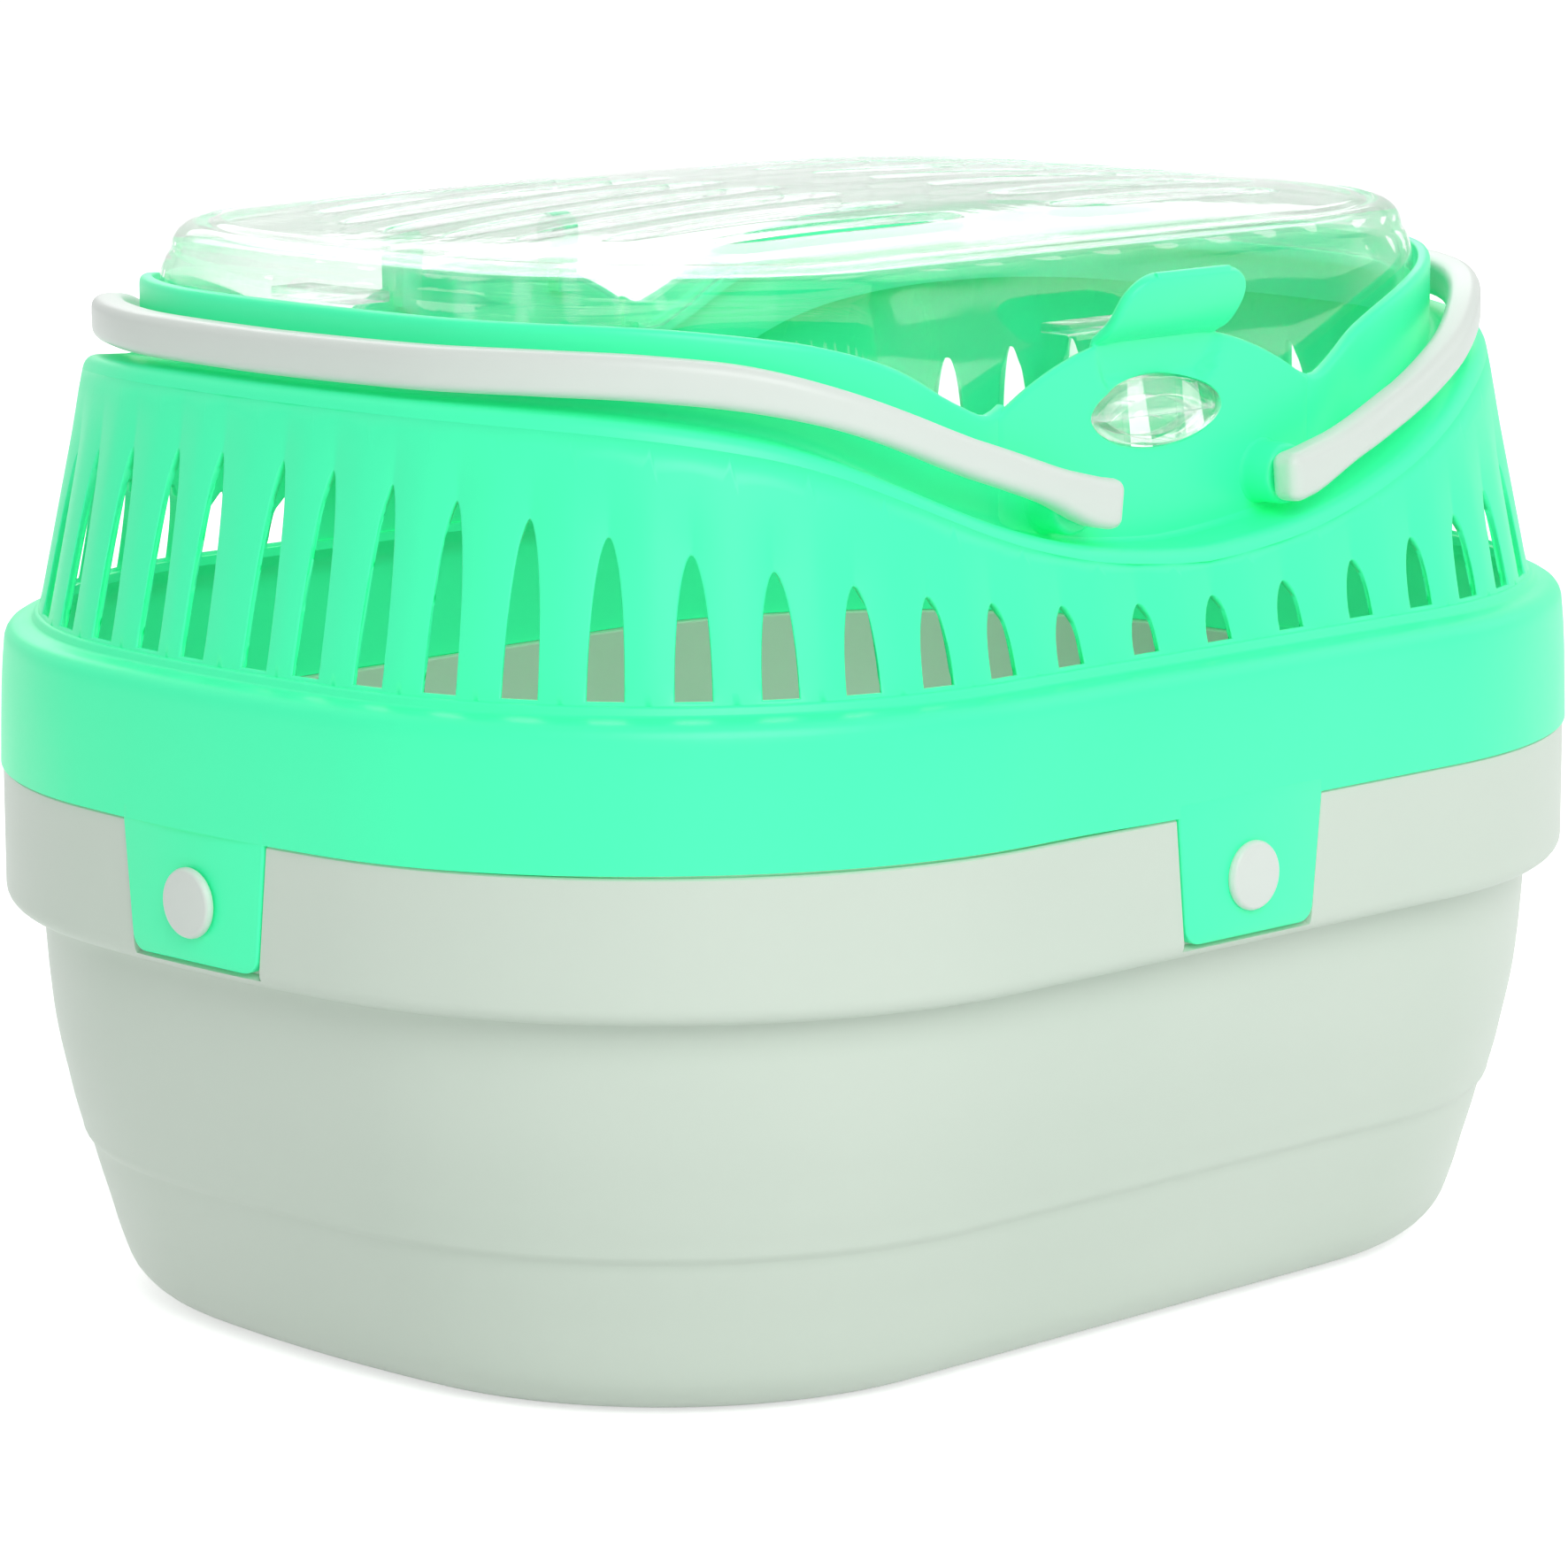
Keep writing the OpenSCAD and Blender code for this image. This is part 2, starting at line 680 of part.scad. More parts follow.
// Springy tongue under the lid's front edge, with an eye-shaped boss for the window
module lid_catch() {
    color(clear) {
        translate([-tongue_w / 2, tongue_y, tongue_foot])
            cube([tongue_w, lid_t, tongue_z - tongue_foot]);
        translate([-tongue_w / 2, tongue_y, tongue_z - lid_t])
            cube([tongue_w, crest_inset - shield_inset - tongue_back, lid_t]);
        eye(eye_w - 2 * fit_gap, eye_h - 2 * fit_gap, -shield_y - eye_proud, tongue_y + lap);
    }
}

// ---- Handles ----

// Inset of a handle's outer face at distance s from mid length
function grip_inset(s) = arm_inset + (bar_inset - arm_inset) * ease(s, shield_half, corner_end(0) - corner_r / 2)
    - hub_flare * (1 - pow(min((s - hub_x) / hub_run, 1), 2));

// Rounded section of a handle: [inwards, upwards] points of a bar of a given height
function grip_section(h) = [for (q = [0 : 3], i = [0 : edge_n])
    let (a = 90 * q + 90 * i / edge_n, e = min(grip_edge_r, h / 2 - fit_gap),
        cx = (q == 0 || q == 3 ? 1 : -1) * (grip_t / 2 - e), cz = (q < 2 ? 1 : -1) * (h / 2 - e))
        [cx + e * cos(a), cz + e * sin(a)]];

grip_n = 28;
edge_n = 3;
grip_len = quarter_len(bar_inset + grip_t / 2);

// One handle as a closed skin of rings, from its front end round the short end to its rear end
module grip() {
    // Stations along a quarter: close together at the blunt end
    half = concat(
        [for (i = [0 : round_n]) hub_x + hub_l * (1 - cos(90 * i / round_n))],
        [for (i = [1 : grip_n]) pivot_x + (grip_len - pivot_x) * i / grip_n]);
    n = len(half);
    ring_n = len(grip_section(grip_h));
    front = [for (s = half) grip_ring(s, -1)];
    rear = [for (i = [n - 2 : -1 : 0]) grip_ring(half[i], 1)];
    rings = concat(front, rear);
    last = len(rings) - 1;
    points = [for (r = rings, p = r) p];
    sides = [for (k = [0 : last - 1], j = [0 : ring_n - 1], t = [0, 1])
        let (a = k * ring_n + j, b = k * ring_n + (j + 1) % ring_n, c = b + ring_n, d = a + ring_n)
            t == 0 ? [a, c, b] : [a, d, c]];
    caps = [[for (j = [0 : ring_n - 1]) j], [for (j = [ring_n - 1 : -1 : 0]) last * ring_n + j]];
    polyhedron(points, concat(sides, caps), convexity = 8);
}

// Ring of a handle at distance s from mid length, in front (side -1) or at the back (side 1)
function grip_ring(s, side) = let (
    mid = place(s, grip_inset(s) + grip_t / 2),
    a = heading(s, grip_inset(s) + grip_t / 2),
    h = grip_height(s),
    z = bar_middle(s, mid[0]))
    [for (p = grip_section(h)) [mid[0] - p[0] * sin(a), side * (mid[1] - p[0] * cos(a)), z + p[1]]];

// Height of a handle's blunt end as a share of its hub
end_share = 0.45;

// A handle's height: a half-round end, then the hub, then the bar
function grip_height(s) = s < pivot_x
    ? hub_h * max(sqrt(max(1 - pow((pivot_x - s) / hub_l, 4), 0)), end_share)
    : hub_h + (grip_h - hub_h) * ease(s, pivot_x, shield_half);

// A handle's middle line, level past its pivots
function bar_middle(s, x) = max(pivot_z, bar(x));

module handle(turn) {
    color(pale_grey)
        rotate([0, 0, turn]) {
            grip();
            for (side = [-1, 1])
                mirror([0, side < 0 ? 0 : 1, 0])
                    along_y(pivot_r, -hub_inner_y - grip_t / 2, wall_t - upper_y, pivot_x, pivot_z);
        }
}

module handle_left() {
    handle(180);
}

module handle_right() {
    handle(0);
}

// ---- Lock pins ----

// Radius of the ball whose cap is a pin's head, the gap under the head, the shank's length and its chamfer
head_ball = (pin_head_r * pin_head_r + pin_head_h * pin_head_h) / (2 * pin_head_h);
head_gap = fit_gap / 3;
pin_len = rim_inset + rim_t + pin_reach;
pin_tip = 1;

// A pin with a domed head, for the side that turn points to
module lock_pin(turn) {
    face = side_reach(turn) + head_gap;
    color(pale_grey)
        rotate([0, 0, turn])
            translate([0, -face, pin_z])
                rotate([90, 0, 0]) {
                    difference() {
                        translate([0, 0, pin_head_h - head_ball])
                            sphere(r = head_ball);
                        translate([0, 0, -2 * head_ball])
                            cylinder(h = 2 * head_ball, r = far);
                    }
                    translate([0, 0, -pin_len])
                        cylinder(h = pin_len + lap, r = pin_r);
                    translate([0, 0, -pin_len - pin_tip])
                        cylinder(h = pin_tip, r1 = pin_r - pin_tip, r2 = pin_r);
                }
}

module lock_pin_front() {
    lock_pin(0);
}

module lock_pin_rear() {
    lock_pin(180);
}

module lock_pin_left() {
    lock_pin(270);
}

module lock_pin_right() {
    lock_pin(90);
}

base_tub();
slatted_housing();
clear_lid();
lid_catch();
handle_left();
handle_right();
lock_pin_front();
lock_pin_rear();
lock_pin_left();
lock_pin_right();
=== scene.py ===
# %% [markdown]
# # A small-pet keeper with a domed lid
# The real thing is five mouldings and a few small ones: a grey tub, a green slatted housing that stands on
# its rim, a clear domed lid hinged at the back, and two pale bow handles, with four push pins at the joint.
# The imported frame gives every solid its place. This file draws the pieces again with finer surfaces and
# finishes, in the same frame, so that nothing has to be fitted afterwards.

# %% Start from the frame
import math

import bmesh
import bpy
import numpy as np
from mathutils import Matrix, Vector


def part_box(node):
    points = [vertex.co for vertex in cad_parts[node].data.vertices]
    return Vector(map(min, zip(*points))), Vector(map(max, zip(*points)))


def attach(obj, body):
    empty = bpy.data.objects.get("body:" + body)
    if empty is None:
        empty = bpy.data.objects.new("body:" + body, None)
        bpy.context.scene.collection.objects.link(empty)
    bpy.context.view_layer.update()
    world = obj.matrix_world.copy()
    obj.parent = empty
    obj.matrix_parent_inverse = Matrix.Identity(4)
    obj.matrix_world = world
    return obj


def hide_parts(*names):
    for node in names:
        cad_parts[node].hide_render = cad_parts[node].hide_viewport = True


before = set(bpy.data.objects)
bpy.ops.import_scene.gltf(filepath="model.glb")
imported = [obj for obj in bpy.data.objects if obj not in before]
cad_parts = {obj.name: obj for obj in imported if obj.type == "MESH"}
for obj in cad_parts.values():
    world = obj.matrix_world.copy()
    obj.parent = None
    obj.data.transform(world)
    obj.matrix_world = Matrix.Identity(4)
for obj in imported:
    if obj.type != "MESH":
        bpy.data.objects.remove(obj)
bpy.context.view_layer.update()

MM = 0.001
print("solids:", sorted(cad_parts))

# %% [markdown]
# ## Numbers into smooth curves
# A moulder's drawing gives a few points, and the steel follows a fair curve through them. A spline tool
# would do that by hand. Here one function carries a cubic through any row of points, so that the heights of
# the shoulder, the bow of a handle and the section of the tub all come from short lists.


# %% A fair curve through points
def fair(xs, ys):
    """Function of x: on each span a cubic that meets both ends, with slopes from the neighbouring points."""
    xs, ys = np.asarray(xs, float), np.asarray(ys, float)
    slopes = np.gradient(ys, xs, axis=0)

    def at(x):
        x = np.clip(x, xs[0], xs[-1])
        k = np.clip(np.searchsorted(xs, x, side="right") - 1, 0, len(xs) - 2)
        h = xs[k + 1] - xs[k]
        f = (x - xs[k]) / h
        if ys.ndim > 1:
            h, f = h[..., None], f[..., None]
        rise = f * f * (3 - 2 * f)
        return (
            ys[k] * (1 - rise)
            + ys[k + 1] * rise
            + h * f * (1 - f) * ((1 - f) * slopes[k] - f * slopes[k + 1])
        )

    return at


def through(points, count):
    """Evenly spaced points of the fair curve through a row of points, by distance along the row."""
    points = np.asarray(points, float)
    run = np.r_[0, np.cumsum(np.linalg.norm(np.diff(points, axis=0), axis=1))]
    return fair(run, points)(np.linspace(0, run[-1], count))


def ramp(x, x0, x1):
    """Smooth step: 0 below x0, 1 above x1, and f*f*(3 - 2f) between."""
    f = np.clip((x - x0) / (x1 - x0), 0, 1)
    return f * f * (3 - 2 * f)


def turn(centre, radius, start, end, count):
    """Points of an arc about a centre, from one angle to another, in degrees."""
    a = np.radians(np.linspace(start, end, count))
    return np.stack([centre[0] + radius * np.cos(a), centre[1] + radius * np.sin(a)], -1)


# %% [markdown]
# ## The outline
# Seen from above, the keeper is a long rectangle with large round corners and slightly bowed short ends.
# Everything else is an inset of that outline, so a place on the body is a distance round it and an inset
# from it. A column of points always runs square to the outline, whatever its inset.

# %% Outline of the body
housing_low, housing_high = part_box("slatted_housing")
HALF_L, HALF_W = housing_high.x / MM, housing_high.y / MM
CORNER_R, END_R = 91, 324
corner_y = HALF_W - CORNER_R
end_x = END_R - HALF_L
corner_x = math.sqrt((END_R - CORNER_R) ** 2 - corner_y**2) - end_x
end_turn = math.asin(corner_y / (END_R - CORNER_R))
corner_len = CORNER_R * (math.pi / 2 - end_turn)
QUARTER = corner_x + corner_len + END_R * end_turn
HALF_WAY, ROUND = 2 * QUARTER, 4 * QUARTER


def ring(s, inset):
    """Points at distance s round the outline (0 at the front's middle, rising to the right) and an inset.

    Each quarter is a straight, a corner arc and half an end arc: a centre plus (radius - inset) times the
    normal."""
    s, inset = np.broadcast_arrays(np.asarray(s, float), np.asarray(inset, float))
    q = np.floor(s / QUARTER).astype(int) % 4
    m = s - np.floor(s / QUARTER) * QUARTER
    m = np.where(q % 2 == 1, QUARTER - m, m)
    a_corner = (m - corner_x) / CORNER_R
    a_end = math.pi / 2 - end_turn + (m - corner_x - corner_len) / END_R
    straight, corner = m < corner_x, m < corner_x + corner_len
    a = np.where(straight, 0, np.where(corner, a_corner, a_end))
    cx = np.where(straight, m, np.where(corner, corner_x, -end_x))
    cy = np.where(corner, corner_y, 0)
    r = np.where(corner, CORNER_R, END_R) - inset
    x, y = cx + r * np.sin(a), cy + r * np.cos(a)
    return np.where(q < 2, x, -x), np.where((q == 0) | (q == 3), -y, y)


def at_inset(s8, inset=8):
    """Distance round the outline of a point that is s8 round the outline at an inset."""
    s8 = np.asarray(s8, float)
    inner = corner_len * (CORNER_R - inset) / CORNER_R
    return np.where(
        s8 < corner_x,
        s8,
        np.where(
            s8 < corner_x + inner,
            corner_x + (s8 - corner_x) * CORNER_R / (CORNER_R - inset),
            corner_x + corner_len + (s8 - corner_x - inner) * END_R / (END_R - inset),
        ),
    )


def from_middle(s):
    """Distance round the outline from the nearer long side's middle."""
    return abs((s + QUARTER) % HALF_WAY - QUARTER)


def spread(*parts):
    """Points from coordinates of different shapes, each repeated to the shape of all together."""
    return np.stack(np.broadcast_arrays(*parts), -1)


def on_body(s, inset, z):
    """Points in space from distance round, inset and height."""
    return spread(*ring(s, inset), z)


print(f"outline {2 * HALF_L:.0f} x {2 * HALF_W:.0f} mm, a quarter of it is {QUARTER:.1f} mm")

# %% [markdown]
# ## From a grid of numbers to a mesh
# Each surface is a table of points, rows by columns. Faces join neighbours in the table, and the table can
# close on itself in one or both directions. Points that fall together, such as a pole's, are merged.
# Writing this once keeps every piece below down to its own shape.


# %% Grids into pieces
def quads(rows, cols, close_rows, close_cols):
    """Corner numbers of the faces of a table of points, counted row by row."""
    i = np.arange(rows if close_rows else rows - 1)[:, None]
    j = np.arange(cols if close_cols else cols - 1)[None, :]
    i2, j2 = (i + 1) % rows, (j + 1) % cols
    return spread(i * cols + j, i * cols + j2, i2 * cols + j2, i2 * cols + j).reshape(-1, 4)


def piece(name, sheets, finish, body, nodes, slot, wall=0, sharp=42):
    """One mesh from sheets of (points in mm, closes over rows, closes over columns).

    A closed shape gets its normals turned outwards; an open one grows a wall behind its faces instead."""
    points, faces, start = [], [], 0
    for grid, close_rows, close_cols in sheets:
        rows, cols = grid.shape[:2]
        points.append(grid.reshape(-1, 3) * MM)
        faces.append(quads(rows, cols, close_rows, close_cols) + start)
        start += rows * cols
    mesh = bpy.data.meshes.new(name)
    mesh.from_pydata(np.concatenate(points).tolist(), [], np.concatenate(faces).tolist())
    bm = bmesh.new()
    bm.from_mesh(mesh)
    bmesh.ops.remove_doubles(bm, verts=bm.verts, dist=2e-6)
    bmesh.ops.dissolve_degenerate(bm, edges=bm.edges, dist=1e-7)
    if not wall:
        bmesh.ops.recalc_face_normals(bm, faces=bm.faces)
    bm.to_mesh(mesh)
    bm.free()
    mesh.polygons.foreach_set("use_smooth", np.ones(len(mesh.polygons), bool))
    mesh.set_sharp_from_angle(angle=math.radians(sharp))
    mesh.materials.append(finish)
    obj = bpy.data.objects.new(name, mesh)
    bpy.context.scene.collection.objects.link(obj)
    if wall:
        solid = obj.modifiers.new("wall", "SOLIDIFY")
        solid.thickness, solid.offset, solid.use_even_offset = wall * MM, -1, True
    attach(obj, body)
    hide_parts(*nodes)
    print(f"{name}: {len(mesh.polygons)} faces")
    return obj


def tube(loops):
    """A sheet of closed loops with a point added at each end, so that the tube is shut."""
    ends = loops[[0, -1]].mean(axis=1, keepdims=True) + np.zeros_like(loops[[0, -1]])
    return np.concatenate([ends[:1], loops, ends[1:]]), False, True


def rounded(half_a, half_b, r, count=5):
    """Loop of a rounded rectangle: four corner arcs about points a radius in from both sides."""
    half_a, half_b, r = (np.asarray(v, float)[..., None] for v in (half_a, half_b, r))
    q = np.repeat(np.arange(4), count)
    a = np.radians(90 * q + np.tile(np.linspace(0, 90, count), 4))
    sign_a, sign_b = np.array([1, -1, -1, 1])[q], np.array([1, 1, -1, -1])[q]
    return np.broadcast_arrays(sign_a * (half_a - r) + r * np.cos(a), sign_b * (half_b - r) + r * np.sin(a))


# %% [markdown]
# ## Shader sums
# A moulded plastic is one colour with very small changes: a little haze and a fine orange-peel skin. Nodes
# can be clicked together, but sums are easier to read as sums, so a small class lets a socket be added and
# multiplied like a number.


# %% A socket that does arithmetic
class Sum:
    """A shader socket with the usual operators; each one adds a Math node."""

    def __init__(self, paint, socket):
        self.paint, self.socket = paint, socket

    def _math(self, kind, a, b, clamp=False):
        return self.paint.node("ShaderNodeMath", {"operation": kind, "use_clamp": clamp}, {0: a, 1: b})

    def __add__(self, other):
        return self._math("ADD", self, other)

    __radd__ = __add__

    def __mul__(self, other):
        return self._math("MULTIPLY", self, other)

    __rmul__ = __mul__

    def __sub__(self, other):
        return self._math("SUBTRACT", self, other)

    def __rsub__(self, other):
        return self._math("SUBTRACT", other, self)

    def clamp(self):
        return self._math("ADD", self, 0, True)


class Paint:
    """A node tree, a new material's or one handed in, and a way to add nodes to it."""

    def __init__(self, name, tree=None):
        self.tree = tree
        if tree is None:
            self.material = bpy.data.materials.new(name)
            self.material.use_nodes = True
            self.tree = self.material.node_tree
            self.shader = self.tree.nodes["Principled BSDF"]
        self.place = self.node("ShaderNodeTexCoord", output="Object")

    def node(self, kind, settings=None, values=None, output=0):
        """Adds a node: its type, its settings, its socket values or links, and the output to read."""
        made = self.tree.nodes.new(kind)
        for key, value in (settings or {}).items():
            setattr(made, key, value)
        for key, value in (values or {}).items():
            self.feed(made.inputs[key], value)
        return Sum(self, made.outputs[output])

    def feed(self, socket, value):
        if isinstance(value, Sum):
            self.tree.links.new(value.socket, socket)
        else:
            socket.default_value = value

    def set(self, **values):
        """Values or links on the main shader's sockets, with _ for a space."""
        for key, value in values.items():
            self.feed(self.shader.inputs[key.replace("_", " ")], value)

    def noise(self, scale, detail):
        """Cloudy noise from 0 to 1, with a scale in waves a metre."""
        values = {"Vector": self.place, "Scale": scale, "Detail": detail}
        return self.node("ShaderNodeTexNoise", {}, values, "Fac")

    def mix(self, share, one, two):
        """Colour one where share is 0 and colour two where it is 1."""
        made = self.tree.nodes.new("ShaderNodeMix")
        made.data_type = "RGBA"
        for socket, value in ((made.inputs[0], share), (made.inputs[6], one), (made.inputs[7], two)):
            self.feed(socket, value)
        return Sum(self, made.outputs[2])

    def bump(self, height, strength, depth):
        """Normals of a small relief, with its depth in metres."""
        values = {"Height": height, "Strength": strength, "Distance": depth}
        return self.node("ShaderNodeBump", {}, values, "Normal")


def srgb(r, g, b):
    """A colour in screen values, 0 to 255, as the linear numbers that a shader takes."""
    c = np.array([r, g, b]) / 255
    c = np.where(c <= 0.04045, c / 12.92, ((c + 0.055) / 1.055) ** 2.4)
    return (*c.tolist(), 1.0)


# %% [markdown]
# ## Four plastics
# The green and the grey are polypropylene, with a soft satin sheen and a faint skin from the mould. The green
# lets a little light through its thin walls. A faint painted glow of its own colour stands for that light: an
# even emission that brightens the green everywhere, and the walls in shade inside the lid too. The trim is
# the same stuff in a paler grey. The lid is clear polystyrene, glossy and a little wavy where the melt has
# flowed: seen square on it is almost not there, and at a glancing angle it mirrors the room, so its alpha
# rises with the square of the viewing angle's share.


# %% Satin plastics and clear plastic
def satin(name, colour, shade, gloss, grain=0.00002):
    """Opaque plastic: two near shades mixed by slow noise, satin gloss that drifts, and a fine skin."""
    paint = Paint(name)
    drift = paint.noise(9, 2)
    speck = paint.noise(900, 2)
    paint.set(Base_Color=paint.mix((drift * 1.6 - 0.3).clamp(), colour, shade))
    paint.set(Roughness=gloss + 0.10 * (paint.noise(45, 4) - 0.5) + 0.06 * (speck - 0.5))
    paint.set(Normal=paint.bump(speck + 3 * paint.noise(60, 2), 0.35, grain), IOR=1.49)
    return paint


mint = satin("mint_plastic", srgb(66, 247, 180), srgb(78, 250, 188), 0.40)
# Painted glow: the green emits a little light of its own colour everywhere, standing for light through the
# thin walls and brightening the shaded walls inside.
mint.set(Emission_Color=srgb(0, 255, 150), Emission_Strength=0.13)
tub_grey = satin("tub_plastic", srgb(205, 219, 206), srgb(212, 224, 212), 0.42)
pale_grey = satin("trim_plastic", srgb(216, 225, 218), srgb(222, 230, 224), 0.36)

clear = Paint("clear_plastic")
flow = clear.noise(38, 4)
clear.set(Base_Color=clear.mix(clear.noise(14, 3), srgb(250, 255, 253), srgb(254, 255, 255)))
clear.set(Roughness=0.02 + 0.03 * clear.noise(120, 4))
glance = clear.node("ShaderNodeLayerWeight", {}, {"Blend": 0.5}, "Facing")
SQUARE_ON = 0.08
clear.set(Transmission_Weight=1.0, IOR=1.54, Alpha=SQUARE_ON + (1 - SQUARE_ON) * (glance * glance))
clear.set(Normal=clear.bump(flow + 0.1 * clear.noise(420, 2), 0.4, 0.0003))
print("finishes:", [m.name for m in bpy.data.materials])

# %% [markdown]
# ## The tub
# The tub is one deep shell: a rounded bowl, a small step low down, a gently leaning wall and a heavy rim
# that overhangs it. A lathe profile is carried round the outline. The rim has a shallow pocket for each of
# the four tabs, so some columns of the grid lean with the tabs' sloping sides.

# %% Tub profile and tab pockets
TAB_DROP = 23.3
joint_z = housing_low.z / MM + TAB_DROP
TAB_HALF, TAB_FOOT_HALF, TAB_LOW = 19.3, 16.9, 78.2
RIM_FACE, RIM_FOOT, RIM_EDGE = 0.45, 75.5, 3.2
tab_places = np.arange(4) * QUARTER


def tab_half(z):
    """Half width of a tab at a height: a straight line from its root to its foot."""
    return TAB_FOOT_HALF + (TAB_HALF - TAB_FOOT_HALF) * np.clip((z - TAB_LOW) / (joint_z - TAB_LOW), 0, 1)


bowl = through(
    [(33, 0), (29.5, 0.9), (26, 2.7), (22.8, 6), (20.5, 11.5), (18.3, 19), (16.5, 25), (15.1, 30.2)], 22
)
step = [(14.8, 30.7), (14.1, 31.3), (13.7, 32.2)]
wall = through([(13.6, 32.9), (12.3, 37.5), (11.1, 43), (9.9, 48.5), (9.1, 53), (8.2, 61), (7.4, 72)], 16)
rim_edge = turn((RIM_FACE + RIM_EDGE, RIM_FOOT + RIM_EDGE), RIM_EDGE, 270, 180, 7)
face_z = np.array([79.2, 83, 87, 91, 95, 98.5, joint_z - 0.4])
rim_face = np.stack([np.full_like(face_z, RIM_FACE), face_z], -1)
rim_top = [(0.85, joint_z), (4.4, joint_z), (4.7, joint_z - 0.3)]
rim_back = [(4.7, 79), (6.5, 76.5), (9.5, 74)]
TUB_T = 2.2
inside = wall[::-3] + [TUB_T, 0]
inside_low = bowl[::-3] + [TUB_T, 1.2]
tub_profile = np.concatenate(
    [bowl, step, wall, [(7.2, 74.6), (6.6, 75.4)], rim_edge, rim_face, rim_top, rim_back, inside, inside_low]
)
print("tub profile:", len(tub_profile), "points")

# %% Tub mesh
POCKET_GAP, POCKET_DEEP = 0.35, 2.0
pocket_edge = TAB_HALF + POCKET_GAP
near = np.array([0.0, 0.06, 0.5, 1.5]) + pocket_edge
around_tabs = np.concatenate([-near[::-1], [-pocket_edge + 0.12, pocket_edge - 0.12], near])
tub_s = np.linspace(0, ROUND, 420, endpoint=False)
from_tab = (tub_s + QUARTER / 2) % QUARTER - QUARTER / 2
tub_s = tub_s[(abs(from_tab) < 17) | (abs(from_tab) > 22)]
tub_s = np.sort(np.concatenate([tub_s, (tab_places[:, None] + around_tabs).ravel() % ROUND]))
from_tab = (tub_s + QUARTER / 2) % QUARTER - QUARTER / 2
d_rows, z_rows = tub_profile[:, 0][:, None], tub_profile[:, 1][:, None]
lean = (tab_half(z_rows) - TAB_HALF) * (1 - ramp(abs(from_tab), 24, 40)) * ramp(abs(from_tab), 3, 14)
in_rim = (z_rows > TAB_LOW - POCKET_GAP) & (z_rows < joint_z + 0.2) & (d_rows < 2)
pocket = np.where(in_rim & (abs(from_tab) < pocket_edge - 0.05), POCKET_DEEP, 0)
tub_grid = on_body(tub_s + lean * np.sign(from_tab), d_rows + pocket, z_rows)
shrink = np.array([0.0, 0.4, 0.8])[:, None, None]
floor_low = tub_grid[:1] * [1, 1, 0] * shrink
floor_top = tub_grid[-1:] * [1, 1, 0] * shrink[::-1] + [0, 0, TUB_T]
tub_whole = np.concatenate([floor_low, tub_grid, floor_top])
piece("tub_shell", [(tub_whole, False, True)], tub_grey.material, "carrier", ["base_tub"], "tub")

# %% [markdown]
# ## Heights along the housing
# The shoulder and the upper rim rise from the front's middle to the short ends in one sweep, which is what
# gives the keeper its look. Both are heights over the distance from mid length, read off a few points.

# %% Shoulder, upper rim and wall
shoulder_z = fair(
    [0, 5, 15, 25, 35, 45, 55, 65, 75, 85, 95, 105, 120, 135, 151],
    [147.2, 147.4, 148.2, 149.4, 151.3, 153.9, 157.2, 161.1, 165.2, 169.2, 172.4, 174.7, 177.2, 178.7, 179.2],
)
rim_curve = fair(
    [38, 41, 43, 45, 48, 52, 58, 64, 70, 76, 82, 88, 106, 125, 151],
    [175.3, 173.95, 173.4, 173.6, 174.9, 176.9, 180.4, 183.2, 185.3, 187, 188.4, 189.4, 191.6, 192.2, 192.3],
)
BEHIND_SHIELD, LOW_RIM = 38.5, 158.0


def rim_z(x):
    """Top of the upper rim at a distance from mid length: low where the shields stand in for it."""
    return np.where(x < BEHIND_SHIELD, LOW_RIM, rim_curve(x))


SHIELD_INSET, SHIELD_HALF = 23.6, 42
WALL_INSET, WALL_Z, WALL_LEAN, WALL_T = 7.5, 130, 0.207, 1.7


def wall_inset(z):
    """Inset of the slatted wall's face at a height: a straight lean inwards from near the sill."""
    return WALL_INSET + WALL_LEAN * (z - WALL_Z)


def rim_inset(s):
    """Inset of the upper rim's face: behind the shields, level beside them, then deeper towards the ends."""
    m = from_middle(s)
    return SHIELD_INSET + 0.6 * (1 - ramp(m, 37, 43)) + 2.4 * ramp(m, 43, 60) + 1.5 * ramp(m, 70, 130)


# %% [markdown]
# ## The band
# The green band is the foot of the housing and the widest part. Its face leans in very slightly, turns over
# a soft edge into a sloping ledge, and ends at a small step where the slatted wall starts. Along one long
# side it sits a hair proud of the rim, as snapped-together mouldings do.

# %% Band
def housing_piece(name, sheets, **more):
    """A piece of the green housing."""
    piece(name, sheets, mint.material, "carrier", ["slatted_housing"], "housing", **more)


band_face = [(0.0, 0), (0.06, 2.5), (0.2, 8), (0.4, 14), (0.7, 19), (1.0, 22.2)]
band_edge = [(1.15, 23.6), (1.5, 24.6), (2.1, 25.4), (3.0, 25.95), (4.2, 26.25), (5.6, 26.5)]
band_step = [(6.3, 26.75), (6.55, 27.0), (6.7, 27.9), (6.95, 28.2), (7.5, 28.35), (9.7, 28.35)]
band_in = [(9.7, 26.6), (6, 24.5), (3.4, 22.5), (2.6, 20), (2.6, 0)]
band_profile = np.array(band_face + band_edge + band_step + band_in)
body_s = np.linspace(0, ROUND, 440, endpoint=False)
from_front = (body_s + HALF_WAY) % ROUND - HALF_WAY
gap = 0.12 + 0.5 * ramp(from_front, -190, -110) * (1 - ramp(from_front, -50, -15))
band_lift = np.where(band_profile[:, 1] < 1, 1.0, 0)[:, None] * gap
band_grid = on_body(body_s, band_profile[:, :1], joint_z + band_profile[:, 1:] + band_lift)
housing_piece("housing_band", [(band_grid, True, True)])

# %% [markdown]
# ## The slatted wall
# Fifty-four slots stand round the wall, flat at the sill and pointed at the top like lancet windows, and
# they grow taller towards the short ends. Cutting them with booleans would leave ragged shading. Instead
# each slot gets a cell of its own: rings of points lead from the slot's edge out to the cell's border, and
# the rings near the slot roll back, which rounds every rib.

